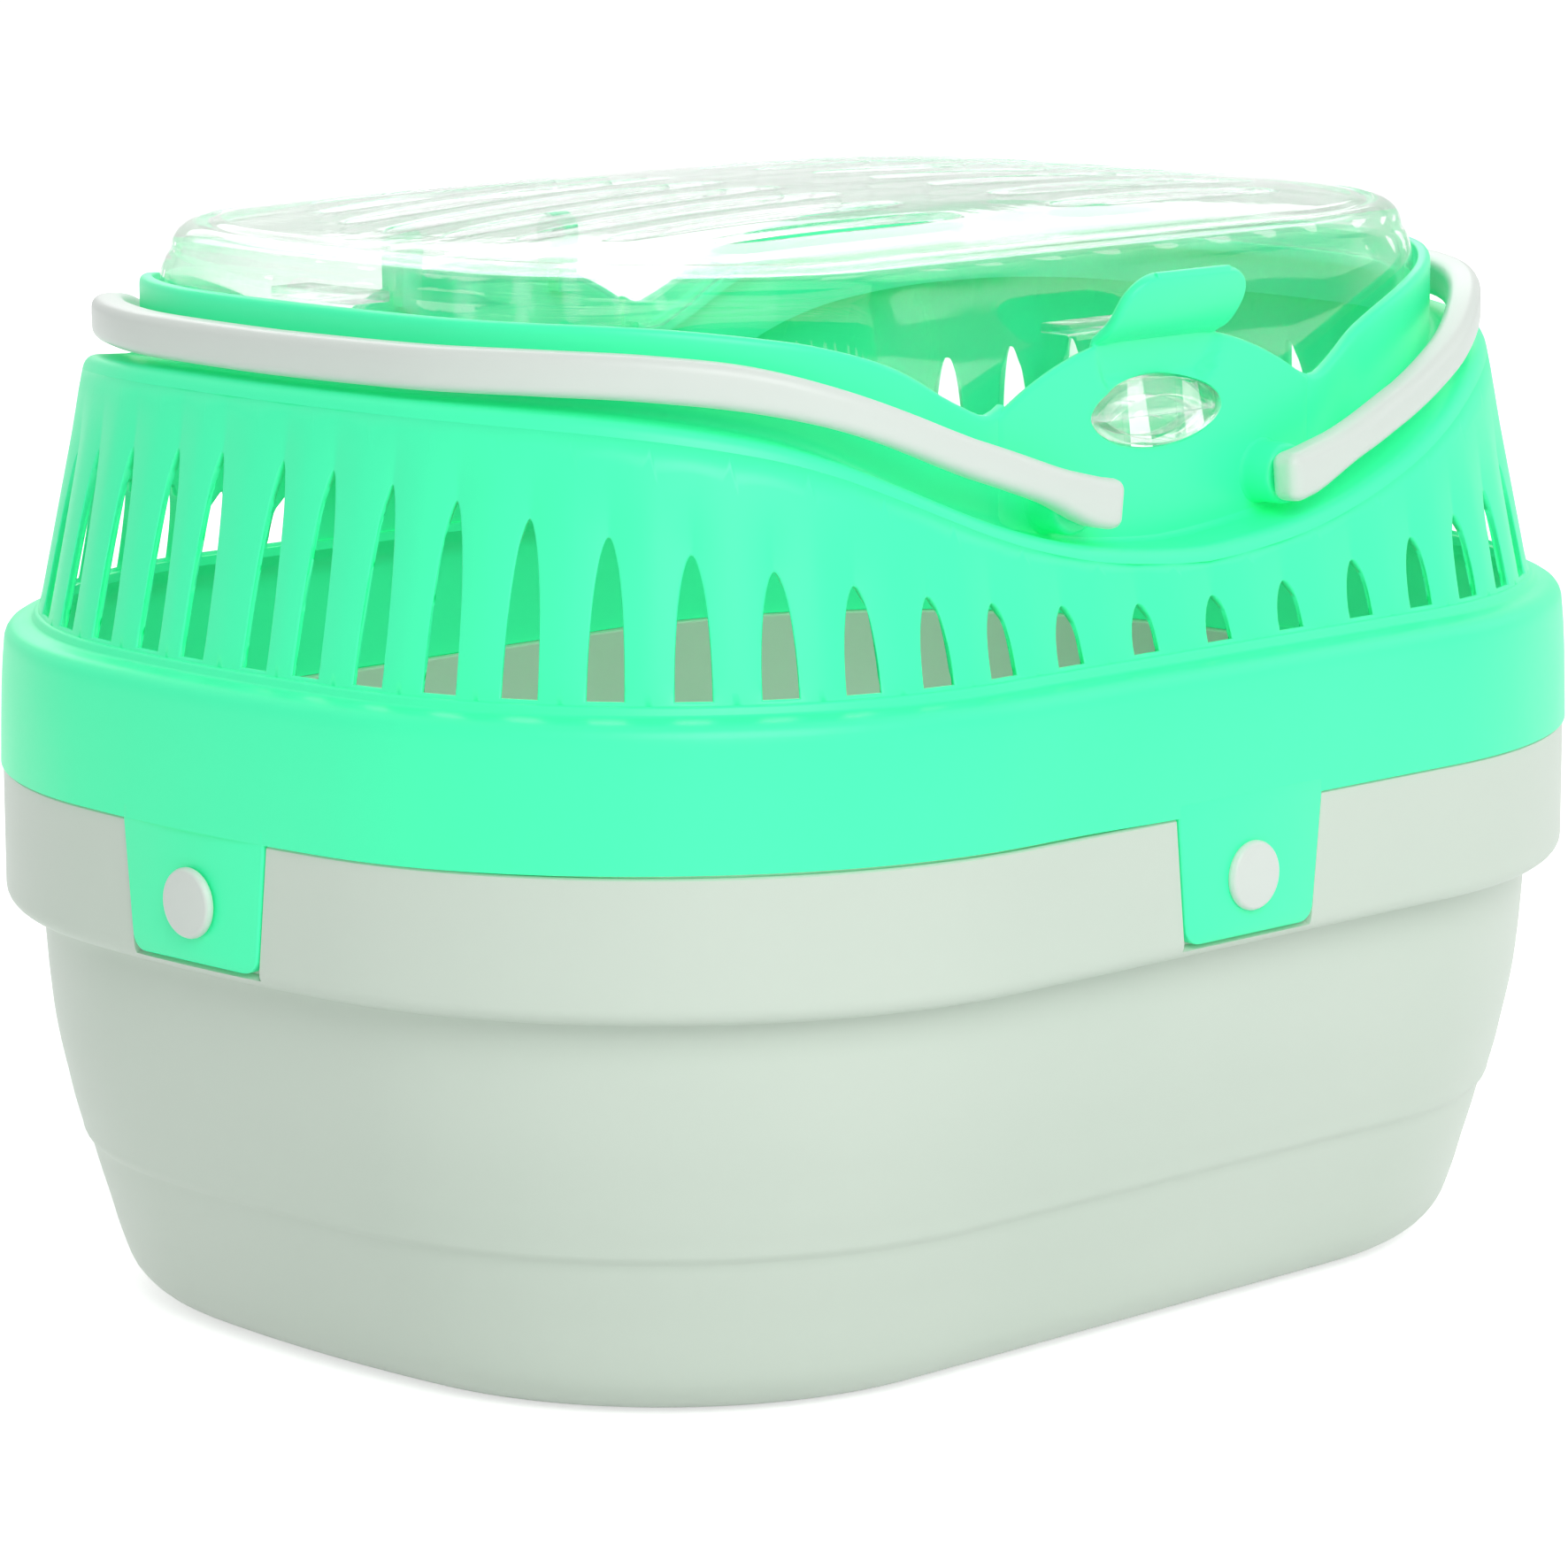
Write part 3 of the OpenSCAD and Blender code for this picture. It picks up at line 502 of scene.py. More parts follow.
# %% Places of the slots
SILL_Z, SLOT_HALF = 130.5, 3.2
RIB_LIP, RIB_REACH, RIB_CROWN = 0.55, 1.2, 0.75
LEDGE_LINE, LIP_DROP = 12, 2.6
WALL_FOOT = joint_z + 27.6
slot_s8 = np.array([0, 19.5, 39, *(56.2 + 15 * np.arange(9)), 191.0, 204.1])
slot_tip = 152.5 - 14 * np.cos(np.pi * slot_s8 / 211)
quarter_s = at_inset(slot_s8)
past_s = quarter_s[1:]
slot_s = np.concatenate([quarter_s, HALF_WAY - quarter_s, HALF_WAY + past_s, ROUND - past_s])
tips = np.concatenate([slot_tip, slot_tip, slot_tip[1:], slot_tip[1:]])
order = np.argsort(slot_s)
slot_s, tips = slot_s[order], tips[order]
after = np.r_[slot_s[1:], slot_s[0] + ROUND]
borders = (slot_s + after) / 2
print(len(slot_s), "slots")


# %% Cells round the slots
def pace(s, inset):
    """Length along an inset line that one millimetre round the outline covers."""
    (x0, y0), (x1, y1) = ring(s, inset), ring(s + 1, inset)
    return math.hypot(x1 - x0, y1 - y0)


def roll_off(away, depth, reach):
    """Fall of a rounded edge: a quarter ellipse, depth deep at the edge and nothing at reach from it."""
    return depth * (1 - np.sqrt(1 - np.clip(1 - away / reach, 0, 1) ** 2))


def slat_cell(middle, left, right, tip):
    """Rings from a slot's outline to its cell's border, as (distance round, height, depth).

    The outline's half width falls with a power of the share t of its height, as half an ellipse's would."""
    side, top, foot = 15, 5, 10
    t = 1 - (1 - np.linspace(0, 1, side + top + 1)) ** 1.6
    width = SLOT_HALF * (1 - t**2.2) ** 0.56
    width = width * pace(middle, 0) / pace(middle, 8)
    up = SILL_Z + (tip - SILL_Z) * t
    hole = np.concatenate(
        [
            np.stack([np.linspace(-width[0], width[0], foot + 1), np.full(foot + 1, SILL_Z)], -1)[:-1],
            np.stack([width, up], -1)[:-1],
            np.stack([-width, up], -1)[::-1][:-1],
        ]
    )
    a, b = left - middle, right - middle
    share = np.linspace(0, 1, side + 1)
    over = np.linspace(0, 1, top + 1)[1:]
    edge_u = np.concatenate(
        [
            np.linspace(a, b, foot + 1)[:-1],
            np.full(side + 1, b),
            b * (1 - over),
            (a * over)[:-1],
            np.full(side, a),
        ]
    )
    edge_f = np.concatenate([np.zeros(foot), share, np.ones(2 * top - 1), share[:0:-1]])
    crest = shoulder_z(abs(ring(middle + edge_u, LEDGE_LINE)[0])) - LIP_DROP
    edge = np.stack([edge_u, WALL_FOOT + (crest - WALL_FOOT) * edge_f], -1)
    steps = np.array([0, 0.03, 0.08, 0.16, 0.3, 0.5, 0.75, 1])[:, None, None]
    rings = hole + (edge - hole) * steps
    away = np.linalg.norm(rings - hole, axis=-1)
    lip = roll_off(away, RIB_LIP, RIB_REACH)
    u, z = rings[..., 0], rings[..., 1]
    half = np.where(u < 0, -a, b)
    fade = (1 - ramp(z, tip, tip + 12)) * ramp(z, WALL_FOOT, SILL_Z + 2)
    swell = RIB_CROWN * np.clip(1 - abs(u) / half, 0, 1) ** 1.6 * fade
    return np.stack([u + middle, z, np.maximum(lip, swell)], -1)


cells = []
for k, (middle, tip) in enumerate(zip(slot_s, tips)):
    left = borders[k - 1] - (ROUND if k == 0 else 0)
    cell = slat_cell(middle, left, borders[k], tip)
    placed = on_body(cell[..., 0], wall_inset(cell[..., 1]) + cell[..., 2], cell[..., 1])
    cells.append((placed[::-1], False, True))
housing_piece("housing_slats", cells, wall=WALL_T, sharp=50)

# %% [markdown]
# ## Shoulder and upper rim
# Above the slots the wall turns in to a ledge, where the folded handles lie, and rises again as the upper
# rim that carries the lid. One section does all of that: its heights change along the body, so the section
# is written once as insets and heights, with the heights taken from the two curves at every column.

# %% Shoulder section
here_x = abs(ring(body_s, LEDGE_LINE)[0])
low, high, rim_in = shoulder_z(here_x), rim_z(abs(ring(body_s, 26)[0])), rim_inset(body_s)


def bend(a, corner, b, count):
    """A soft corner: the parabola that starts at a towards the corner and ends at b, for whole columns."""
    t = np.linspace(0, 1, count)[:, None]
    return [(1 - t) ** 2 * p + 2 * t * (1 - t) * q + t * t * r for p, q, r in zip(a, corner, b)]


def section(*parts):
    """Stacks (insets, heights) rows, each one row over the columns or a block of rows, into two tables."""
    tables = []
    for values in zip(*parts):
        blocks = [np.atleast_2d(value) for value in values]
        tables.append(np.vstack([np.broadcast_to(block, (len(block), len(body_s))) for block in blocks]))
    return tables


face_top = low - LIP_DROP
shoulder_d, shoulder_h = section(
    (wall_inset(face_top), face_top),
    bend(
        (wall_inset(face_top), face_top), (wall_inset(low - 0.1), low + 0.1), (wall_inset(low) + 2.6, low), 7
    ),
    (rim_in - 3.2, low + 0.1),
    bend((rim_in - 2.6, low + 0.1), (rim_in, low + 0.2), (rim_in, low + 2.8), 5),
    (rim_in, (low + high) / 2),
    (rim_in, high - 2.4),
    bend((rim_in, high - 1.6), (rim_in, high), (rim_in + 1.3, high), 6),
    (rim_in + 2.0, high),
    bend((rim_in + 2.0, high), (rim_in + 2.5, high), (rim_in + 2.5, high - 0.6), 4),
    (rim_in + 2.6, high - 4.6),
    (rim_in + 2.9, high - 5.0),
    (rim_in + 5.8, high - 5.0),
    bend((rim_in + 5.9, high - 5.0), (rim_in + 6.4, high - 5.0), (rim_in + 6.4, high - 5.6), 3),
    (rim_in + 6.3, high - 7.2),
    (rim_in + 2.3, high - 7.6),
    (rim_in + 2.2, low + 1.5),
    (rim_in + 1.2, low - 2.2),
    (wall_inset(low) + 4.0, low - 2.2),
    (wall_inset(face_top) + 1.5, face_top),
)
housing_piece("housing_shoulder", [(on_body(body_s, shoulder_d, shoulder_h), True, True)])

# %% [markdown]
# ## Shields
# At the middle of each long side the rim dips and a plate with an arched top closes the gap. The front one
# has an eye-shaped window for the catch and, above it, a shallow dent where the thumb rests. Rings of
# points lead from the window out to the plate's edge, which is why the window's rim shades so cleanly.

# %% Shield shapes
SHIELD_R, SHIELD_TOP, SHIELD_FOOT, SHIELD_EDGE = 77, 185.2, 147.5, 172.73
EYE_Z, EYE_HALF, EYE_TALL = 170.5, 16.8, 6.3
CREASE_Z, DENT_Z, DENT_HALF, DENT_DEEP = 183.3, 177.5, 17.0, 1.6
ARCH_ROLL, EYE_ROLL, SIDE_ROLL = (0.8, 1.1), (0.5, 0.8), (0.3, 1.2)
shield_y = HALF_W - SHIELD_INSET
SHIELD_T, FAR = 2.2, 1e3


def eye_oval(a, more):
    """Distance from the window's middle to its edge: an ellipse whose squares are a slightly lower power."""
    power = 1.85
    along, up = abs(np.cos(a) / (EYE_HALF + more)), abs(np.sin(a) / (EYE_TALL + more))
    return (along**power + up**power) ** (-1 / power)


def eye_reach(a, half, tall):
    """Distance from the middle of a pointed eye to its edge: the nearer of two arcs."""
    r = (half**2 + tall**2) / (2 * tall)
    drop = r - tall
    return -drop * abs(np.sin(a)) + np.sqrt(r**2 - (drop * np.cos(a)) ** 2)


def shield_reach(a):
    """Distance from the window's middle to the plate's edge: its sides, its foot or its arched top."""
    with np.errstate(divide="ignore", invalid="ignore"):
        side = SHIELD_HALF / abs(np.cos(a))
        foot = np.where(np.sin(a) < 0, (SHIELD_FOOT - EYE_Z) / np.sin(a), FAR)
    drop = EYE_Z - (SHIELD_TOP - SHIELD_R)
    arch = -drop * np.sin(a) + np.sqrt(SHIELD_R**2 - (drop * np.cos(a)) ** 2)
    return np.minimum(np.minimum(side, foot), arch), arch <= np.minimum(side, foot)


def dent(x, z):
    """Depth of the thumb rest: sunk at the window, less at the crease, with steep sides that draw in."""
    half = DENT_HALF - 0.45 * np.clip(CREASE_Z - z, 0, 8)
    return (DENT_DEEP - 0.22 * (z - DENT_Z)) * ramp(z, DENT_Z - 3.5, DENT_Z) * ramp(half - abs(x), 0, 1.3)


def shield_plate(name, front):
    """Plate in rings from the window, or from its middle at the back, rolled off along its arch."""
    sides, ends = (-SHIELD_HALF, SHIELD_HALF), (SHIELD_FOOT, SHIELD_EDGE)
    corners = [math.atan2(z - EYE_Z, x) for x in sides for z in ends]
    a = np.sort(np.concatenate([np.linspace(-math.pi, math.pi, 168, endpoint=False), corners]))
    out, arch = shield_reach(a)
    hole = eye_oval(a, 0.15) if front else np.zeros_like(a)
    t = np.array([0, 0.02, 0.05, 0.12, 0.25, 0.4, 0.55, 0.7, 0.82, 0.9, 0.95, 0.98, 1])[:, None]
    r = hole + (out - hole) * t
    x, z = r * np.cos(a), EYE_Z + r * np.sin(a)
    depth = dent(x, z) if front else 0 * x
    depth = depth + SIDE_ROLL[0] * ramp(abs(x), SHIELD_HALF - SIDE_ROLL[1], SHIELD_HALF)
    depth = depth + np.where(arch, roll_off(out - r, *ARCH_ROLL), 0)
    if front:
        depth = depth + roll_off(r - hole, *EYE_ROLL)
    grid = np.stack([x, -shield_y + depth, z], -1)
    grid = grid if front else grid * [-1, -1, 1]
    housing_piece(name, [(grid[::-1], False, True)], wall=SHIELD_T)


shield_plate("housing_front_shield", True)
shield_plate("housing_rear_shield", False)

# %% [markdown]
# ## The finger flap
# A tongue curls out from the front shield's crease, to be held while the thumb pushes the catch. It is one
# strip of closed sections: each is a thin rounded bar as wide as the flap is there. The path of its front
# face adds up small steps whose lean falls from 58 degrees at the crease to 26 degrees at the tip.

# %% Flap
FLAP_L, FLAP_R = 15.9, 6.0


def flap_half(v):
    """Half width of the flap at a distance along it: nearly straight sides, then round corners."""
    root = np.interp(v, [-2.5, 0, 9, FLAP_L], [16.6, 16.4, 16.4, 15.8])
    fall = np.clip(v - (FLAP_L - FLAP_R), 0, FLAP_R)
    return root - FLAP_R + np.sqrt(FLAP_R**2 - fall**2)


corner_v = FLAP_L - FLAP_R * (1 - np.sin(np.linspace(0.15, math.pi / 2, 9)))
tip_v = FLAP_L + np.array([0.35, 0.5])
flap_v = np.concatenate([[-2.5, -1.2, 0], np.linspace(0.02, 10.2, 16), corner_v, tip_v])
flap_t = 1.6 + 0.6 * ramp(flap_v, 0, 3)
flap_t[-2:] = 1.3, 0.4
lean = np.radians(np.interp(flap_v, [0, 0.02, 3, 7, 10, FLAP_L], [0, 58, 56, 36, 29, 26]))
stride = np.diff(flap_v, prepend=flap_v[0])
out_by = np.cumsum(np.sin(lean) * stride) - 0.35 * np.clip(-flap_v, 0, None) - dent(0, CREASE_Z)
up_by = flap_v[0] + np.cumsum(np.cos(lean) * stride)
across, inner = rounded(flap_half(np.minimum(flap_v, FLAP_L)), flap_t / 2, np.minimum(0.9, flap_t / 2.05))
behind = inner + np.where(flap_v > 0, 1.1, 0.8)[:, None]
lean, out_by, up_by = (values[:, None] for values in (lean, out_by, up_by))
flap_y = -shield_y - out_by + behind * np.cos(lean)
flap_z = CREASE_Z + up_by + behind * np.sin(lean)
housing_piece("housing_flap", [tube(spread(across, flap_y, flap_z))])

# %% [markdown]
# ## Collars, hinge ears and tabs
# Small bosses stand out of the shields behind the handles' ends, two ears at the back hold the lid's hinge,
# and four tabs hang from the band into the rim's pockets. All are short runs of closed loops.

# %% Collars
PIVOT_X, PIVOT_Z, COLLAR_R = 28.5, 157.0, 5.6
circle = np.linspace(0, 2 * math.pi, 40, endpoint=False)


def rod(x, y, radius):
    """Rings about a line along Y at the pivots' height: one for each place along it, with its radius."""
    radius = radius[:, None]
    return spread(x + radius * np.cos(circle), y[:, None], PIVOT_Z + radius * np.sin(circle))


collar_y = shield_y + np.array([-1.0, 0.0, 0.3, 0.8, 1.6, 5.6, 6.2, 6.5, 6.6, 6.6])
collar_r = COLLAR_R + np.array([0.6, 0.5, 0.25, 0.12, 0, 0, -0.15, -0.5, -1.0, -3.0])
collars = [tube(rod(x, collar_y * side, collar_r)) for x in (-PIVOT_X, PIVOT_X) for side in (-1, 1)]
housing_piece("housing_collars", collars)

# %% Tabs
TAB_R, TAB_HALF_T, TAB_ROOT = 3, 1.15, 2.4
root_z = joint_z + np.array([TAB_ROOT, 1.2, 0])
foot_z = TAB_LOW + TAB_R * (1 - np.sin(np.linspace(0.2, math.pi / 2, 7)))
tab_z = np.concatenate([root_z, np.linspace(joint_z - 2, 82.5, 9), foot_z])
tab_edge = tab_half(tab_z) - TAB_R + np.sqrt(TAB_R**2 - np.clip(TAB_LOW + TAB_R - tab_z, 0, TAB_R) ** 2)
along, deep = rounded(tab_edge, TAB_HALF_T, 0.45, 4)
tab_inset = deep + TAB_HALF_T - 0.03 + 0.06 * ramp(tab_z, joint_z, joint_z + TAB_ROOT)[:, None]
tabs = [tube(on_body(place + along, tab_inset, tab_z[:, None])) for place in tab_places]
housing_piece("housing_tabs", tabs)

# %% Hinge ears
HINGE_Y, HINGE_DROP, BARREL_R, BARREL_HALF = 89.5, 16.9, 3.7, 18
EAR_T, EAR_GAP, EAR_FOOT, EAR_EDGE = 5, 0.3, 177.5, 0.3
lid_top_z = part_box("clear_lid")[1].z / MM
hinge_z = lid_top_z - HINGE_DROP


def ear(x0, x1):
    """Loops along X of a U shape: a round head on the hinge line that runs down into the shield."""
    a = np.radians(np.linspace(180, 0, 17))
    head_y, head_z = HINGE_Y + BARREL_R * np.cos(a), hinge_z + BARREL_R * np.sin(a)
    y = np.r_[HINGE_Y - BARREL_R + 0.8, head_y, HINGE_Y + BARREL_R - 0.4]
    z = np.r_[EAR_FOOT, head_z, EAR_FOOT]
    x = np.array([x0, x0 + EAR_EDGE, x1 - EAR_EDGE, x1])[:, None]
    grow = np.array([0.93, 1, 1, 0.93])[:, None]
    return spread(x, HINGE_Y + (y - HINGE_Y) * grow, hinge_z + (z - hinge_z) * grow)


ear_in = BARREL_HALF + EAR_GAP
ears = [tube(ear(a, b)) for a, b in ((ear_in, ear_in + EAR_T), (-ear_in - EAR_T, -ear_in))]
housing_piece("housing_hinge_ears", ears)

# %% [markdown]
# ## Bow handles
# Each handle is a flat bar that leaves a pivot beside the catch, climbs along the shoulder, crosses the
# short end and comes back down behind. The bar is a rounded section carried along a path that is given by
# its height and by how far it lies inside the outline, both over the distance round the body.

# %% Handle path
grip_out = fair(
    [20, 28, 40, 46, 52, 58, 65, 72, 80, 88, 97, 106, 115, 125, 155, 185, QUARTER],
    [9.9, 10.1, 10.0, 10.3, 11.0, 11.8, 12.5, 13.0, 13.6, 14.6, 15.8, 16.8, 17.6, 18.2, 18.7, 18.3, 18.0],
)
grip_z = fair(
    [20, 24, 28, 34, 40, 46, 52, 58, 65, 72, 80, 88, 97, 106, 130, 155, 185, QUARTER],
    [156.7, 157.1, 157.8, 159.8, 162.0, 164.1, 166.2, 168.2, 170.5, 172.9, 175.5, 177.8, 179.9, 181.5, 183.7,
     184.4, 184.4, 184.3],
)
GRIP_T, GRIP_H, GRIP_R = 6.4, 7.8, 2.1
END_S, BLUNT = 22.4, 2.3
END_SWELL, WAIST, SEAM_DEEP, SEAM_WIDE = 0.6, 0.55, 0.16, 0.35


def handle_bar(side):
    """Loops of the bar square to its path, with arcs for the section's corners and blunt round ends.

    The bar is a little taller at its ends and slimmer where it climbs, and a fine seam runs along it."""
    end_s = END_S + np.array([0, 0.12, 0.5, 1.2, BLUNT])
    half_s = np.concatenate([end_s, np.linspace(END_S + 3.5, QUARTER, 74)])
    m = np.concatenate([half_s, HALF_WAY - half_s[::-1][1:]])
    near_s = np.minimum(m, HALF_WAY - m)
    more = END_SWELL * (1 - ramp(near_s, 26, 40))
    less = WAIST * ramp(near_s, 28, 42) * (1 - ramp(near_s, 75, 115))
    cut = roll_off(near_s - END_S, BLUNT, BLUNT)
    tall = GRIP_H / 2 + more - less - cut
    inward, up = rounded(GRIP_T / 2 - cut, tall, np.maximum(GRIP_R - cut, 0.3), 6)
    seam = SEAM_DEEP * np.exp(-((up / SEAM_WIDE) ** 2)) * (abs(inward) > GRIP_T / 2 - 1)
    inward = inward - np.sign(inward) * seam
    middle = grip_z(near_s)
    tilt = np.arctan(np.gradient(middle, m))[:, None]
    inset = grip_out(near_s)[:, None] + GRIP_T / 2 + inward
    loops = on_body(m[:, None] - up * np.sin(tilt), inset, middle[:, None] + up * np.cos(tilt))
    return loops * [side, 1, 1]


def pivot_pins(side):
    """Pins from the bar's inner face into the collars, one at each end of a handle."""
    y, r = np.array([101.5, 95.0, 90.2, 89.4, 89.2]), np.array([3.0, 3.0, 3.0, 2.7, 2.2])
    return [tube(rod(side * PIVOT_X, rear * y, r)) for rear in (-1, 1)]


for name, side in (("left", -1), ("right", 1)):
    sheets = [tube(handle_bar(side)), *pivot_pins(side)]
    piece(f"handle_bar_{name}", sheets, pale_grey.material, f"{name}_handle", [f"handle_{name}"], "trim")

# %% [markdown]
# ## Push pins
# Four round-headed pins go through the tabs and the rim and hold the halves together. Each is turned like a
# mushroom: a slightly domed head with a soft edge, on a plain shank.

# %% Push pins
PIN_Z, PIN_R, PIN_HEAD_R = 88.9, 3, 6.35
pin_side = [(PIN_R, -9), (PIN_R, -8), (PIN_R, 0)]
pin_edge = [(5.9, 0), (6.2, 0.05), (PIN_HEAD_R, 0.3), (PIN_HEAD_R, 0.85)]
head_t = np.linspace(0, 1, 9)
pin_dome = np.stack([6.28 - 0.75 * head_t**1.5, 0.95 + 0.72 * np.sin(head_t * math.pi / 2)], -1)
pin_top = [(4.6, 1.78), (3.4, 1.84), (2, 1.88), (0.8, 1.9)]
pin_r, pin_h = np.concatenate([pin_side, pin_edge, pin_dome, pin_top]).T[..., None, None]
for name, place in zip(("front", "right", "rear", "left"), tab_places):
    x, y = ring(place, 0)
    out = np.array([x, y, 0]) / math.hypot(x, y)
    along = np.array([-out[1], out[0], 0])
    round_pin = np.cos(circle)[:, None] * along + np.sin(circle)[:, None] * [0, 0, 1.0]
    loops = np.array([x, y, PIN_Z]) + pin_h * out + pin_r * round_pin
    piece(f"push_pin_{name}", [tube(loops)], pale_grey.material, f"{name}_pin", [f"lock_pin_{name}"], "trim")

# %% [markdown]
# ## The clear lid
# The lid is one thin dome: a skirt that stands on the upper rim's seat and dips with it, a round shoulder,
# and a gently crowned top with sixteen long vents. The top is planned as flat cells, one round each vent,
# whose outer border is joined to the shoulder, and then every point is lifted on to the crown.

# %% Lid top
CREST_Z, CREST_R, SKIRT_IN, CREST_IN, LID_T = lid_top_z - 5.2, 5.0, 29.5, 37.0, 1.8
VENT_HALF, VENT_PITCH, VENT_NEAR, VENT_FAR, VENT_TAPER = 4.25, 15.5, 13, 96, 23
VENT_CORNER, SHORT_N, LONG_N = math.radians(28), 8, 36
CELL_NEAR, EDGE_INSET, LAST_Y = 6.0, 42.0, 4 * VENT_PITCH
LID_PULL, CROWN_X, CROWN_Y, CROWN_POWER = 2.2, 110, 78.5, 2.3
VENT_LIP, VENT_REACH, VENT_POWER = 0.35, 0.7, 2 / 2.6


def pull(s):
    """Extra inset of the lid towards the short ends."""
    return LID_PULL * ramp(from_middle(s), corner_x, corner_x + corner_len)


def crown(x, y):
    """Height of the lid's top: falls with a power of the distance from the middle, squared like the plan."""
    rho = ((x / CROWN_X) ** 4 + (y / CROWN_Y) ** 4) ** 0.25
    return lid_top_z - (lid_top_z - CREST_Z) * rho**CROWN_POWER


def cell_far(y):
    """Outer border of the cells: a curve that follows the vents' shortening."""
    return VENT_FAR + 4.5 - VENT_TAPER * (y / (3.5 * VENT_PITCH)) ** 2


def vent_cell(row, side):
    """Rings from a vent's rounded outline to its cell's border, in plan."""
    far = VENT_FAR - VENT_TAPER * (row / 3.5) ** 2
    turns = np.array([0, 0, 1, 1, 2]) * math.pi + np.array([-1, 1, -1, 1, -1]) * VENT_CORNER
    counts = [SHORT_N, LONG_N, SHORT_N, LONG_N]
    phi = np.concatenate([np.linspace(a, b, n + 1)[:-1] for a, b, n in zip(turns, turns[1:], counts)])
    c, s = np.cos(phi), np.sin(phi)
    hole_x = (VENT_NEAR + far) / 2 + (far - VENT_NEAR) / 2 * np.sign(c) * abs(c) ** VENT_POWER
    hole_y = row * VENT_PITCH + VENT_HALF * np.sign(s) * abs(s) ** VENT_POWER
    is_long = np.repeat([False, True, False, True], counts)
    edge_y = (row + 0.5 * np.where(is_long, np.sign(s), s / math.sin(VENT_CORNER))) * VENT_PITCH
    share = np.where(is_long, 0.5 + 0.5 * c / math.cos(VENT_CORNER), c > 0)
    edge_x = CELL_NEAR + (cell_far(edge_y) - CELL_NEAR) * share
    hole, edge = np.stack([hole_x, hole_y], -1), np.stack([edge_x, edge_y], -1)
    t = np.array([0, 0.06, 0.16, 0.4, 0.7, 1])[:, None, None]
    return (hole + (edge - hole) * t) * [side, 1]


vent_rows = np.arange(8) - 3.5
vent_cells = [(vent_cell(row, side), side) for row in vent_rows for side in (-1, 1)]


def lifted(plan, drop=0.0):
    """Plan points set on the crown."""
    return np.concatenate([plan, crown(plan[..., :1], plan[..., 1:]) - drop], -1)


lid_sheets = []
for plan, side in vent_cells:
    away = np.linalg.norm(plan - plan[:1], axis=-1)
    grid = lifted(plan, roll_off(away, VENT_LIP, VENT_REACH)[..., None])
    lid_sheets.append((grid if side < 0 else grid[::-1], False, True))

# %% Middle strip, surround and skirt
bulge = 0.5 * np.sin(np.linspace(-VENT_CORNER, VENT_CORNER, SHORT_N + 1))[:-1] / math.sin(VENT_CORNER)
strip_y = np.r_[(vent_rows[:, None] + bulge).ravel() * VENT_PITCH, LAST_Y]
strip_x = np.linspace(-CELL_NEAR, CELL_NEAR, 5)
lid_sheets.append((lifted(np.stack(np.meshgrid(strip_x, strip_y), -1)), False, False))

long_phi = np.linspace(VENT_CORNER, math.pi - VENT_CORNER, LONG_N + 1)
share = 0.5 + 0.5 * np.cos(long_phi) / math.cos(VENT_CORNER)
top_x = CELL_NEAR + (cell_far(LAST_Y) - CELL_NEAR) * share
right = np.stack([cell_far(strip_y), strip_y], -1)
top = spread(np.r_[top_x, strip_x[::-1][1:-1], -top_x[::-1]], LAST_Y)
border = np.concatenate([right[:-1], top[:-1], -right[:-1], -top[:-1]])
PLAN_X, PLAN_Y = 105, 73.5
ring_s = np.linspace(0, ROUND, 2000, endpoint=False)
ring_x, ring_y = ring(ring_s, EDGE_INSET + pull(ring_s))
ring_a = np.unwrap(np.arctan2(ring_y / PLAN_Y, ring_x / PLAN_X))
border_a = np.arctan2(border[:, 1] / PLAN_Y, border[:, 0] / PLAN_X)
lid_s = np.interp(np.where(border_a < ring_a[0], border_a + 2 * math.pi, border_a), ring_a, ring_s)
edge_ring = np.stack(ring(lid_s, EDGE_INSET + pull(lid_s)), -1)
t = np.linspace(0, 1, 6)[:, None, None]
lid_sheets.append((lifted(border + (edge_ring - border) * t)[::-1], False, True))

SEAT_DROP, BESIDE_SHIELD = 4.8, 43
skirt_t = np.linspace(0, 1, 12)[:, None]
seat = rim_z(np.maximum(abs(ring(lid_s, 30)[0]), BESIDE_SHIELD)) - SEAT_DROP
skirt_d = SKIRT_IN + 2.5 * skirt_t**3 + pull(lid_s)
skirt_h = seat + (CREST_Z - CREST_R - seat) * skirt_t
crest = turn((CREST_IN, CREST_Z - CREST_R), CREST_R, 180, 97, 9)[1:]
crest_d, crest_h = crest[:, :1] + pull(lid_s), crest[:, 1:] + 0 * lid_s
side_grid = np.concatenate([on_body(lid_s, skirt_d, skirt_h), on_body(lid_s, crest_d, crest_h)])
brow_in = np.array([37.4, 38.0, 38.7, 39.6, 40.3, EDGE_INSET])[:, None]
brow = np.stack(ring(lid_s, brow_in + pull(lid_s)), -1)
groove = np.array([0.0, 0.35, 0.5, 0.3, 0.0, 0.0])[:, None, None]
lid_sheets.append((np.concatenate([side_grid, lifted(brow, groove)]), False, True))
piece("lid_dome", lid_sheets, clear.material, "lid", ["clear_lid"], "clear", wall=LID_T, sharp=50)

# %% Hinge barrel and lift lugs
barrel_x = np.array([-23.3, -23.2, -18.05, -18.0, -17.6, 17.6, 18.0, 18.05, 23.2, 23.3])[:, None]
barrel_r = np.array([1.5, 1.8, 1.8, 3.4, 3.7, 3.7, 3.4, 1.8, 1.8, 1.5])[:, None]
barrel = spread(barrel_x, HINGE_Y + barrel_r * np.cos(circle), hinge_z + barrel_r * np.sin(circle))
BLOCK_R, EASE = 0.4, 0.35


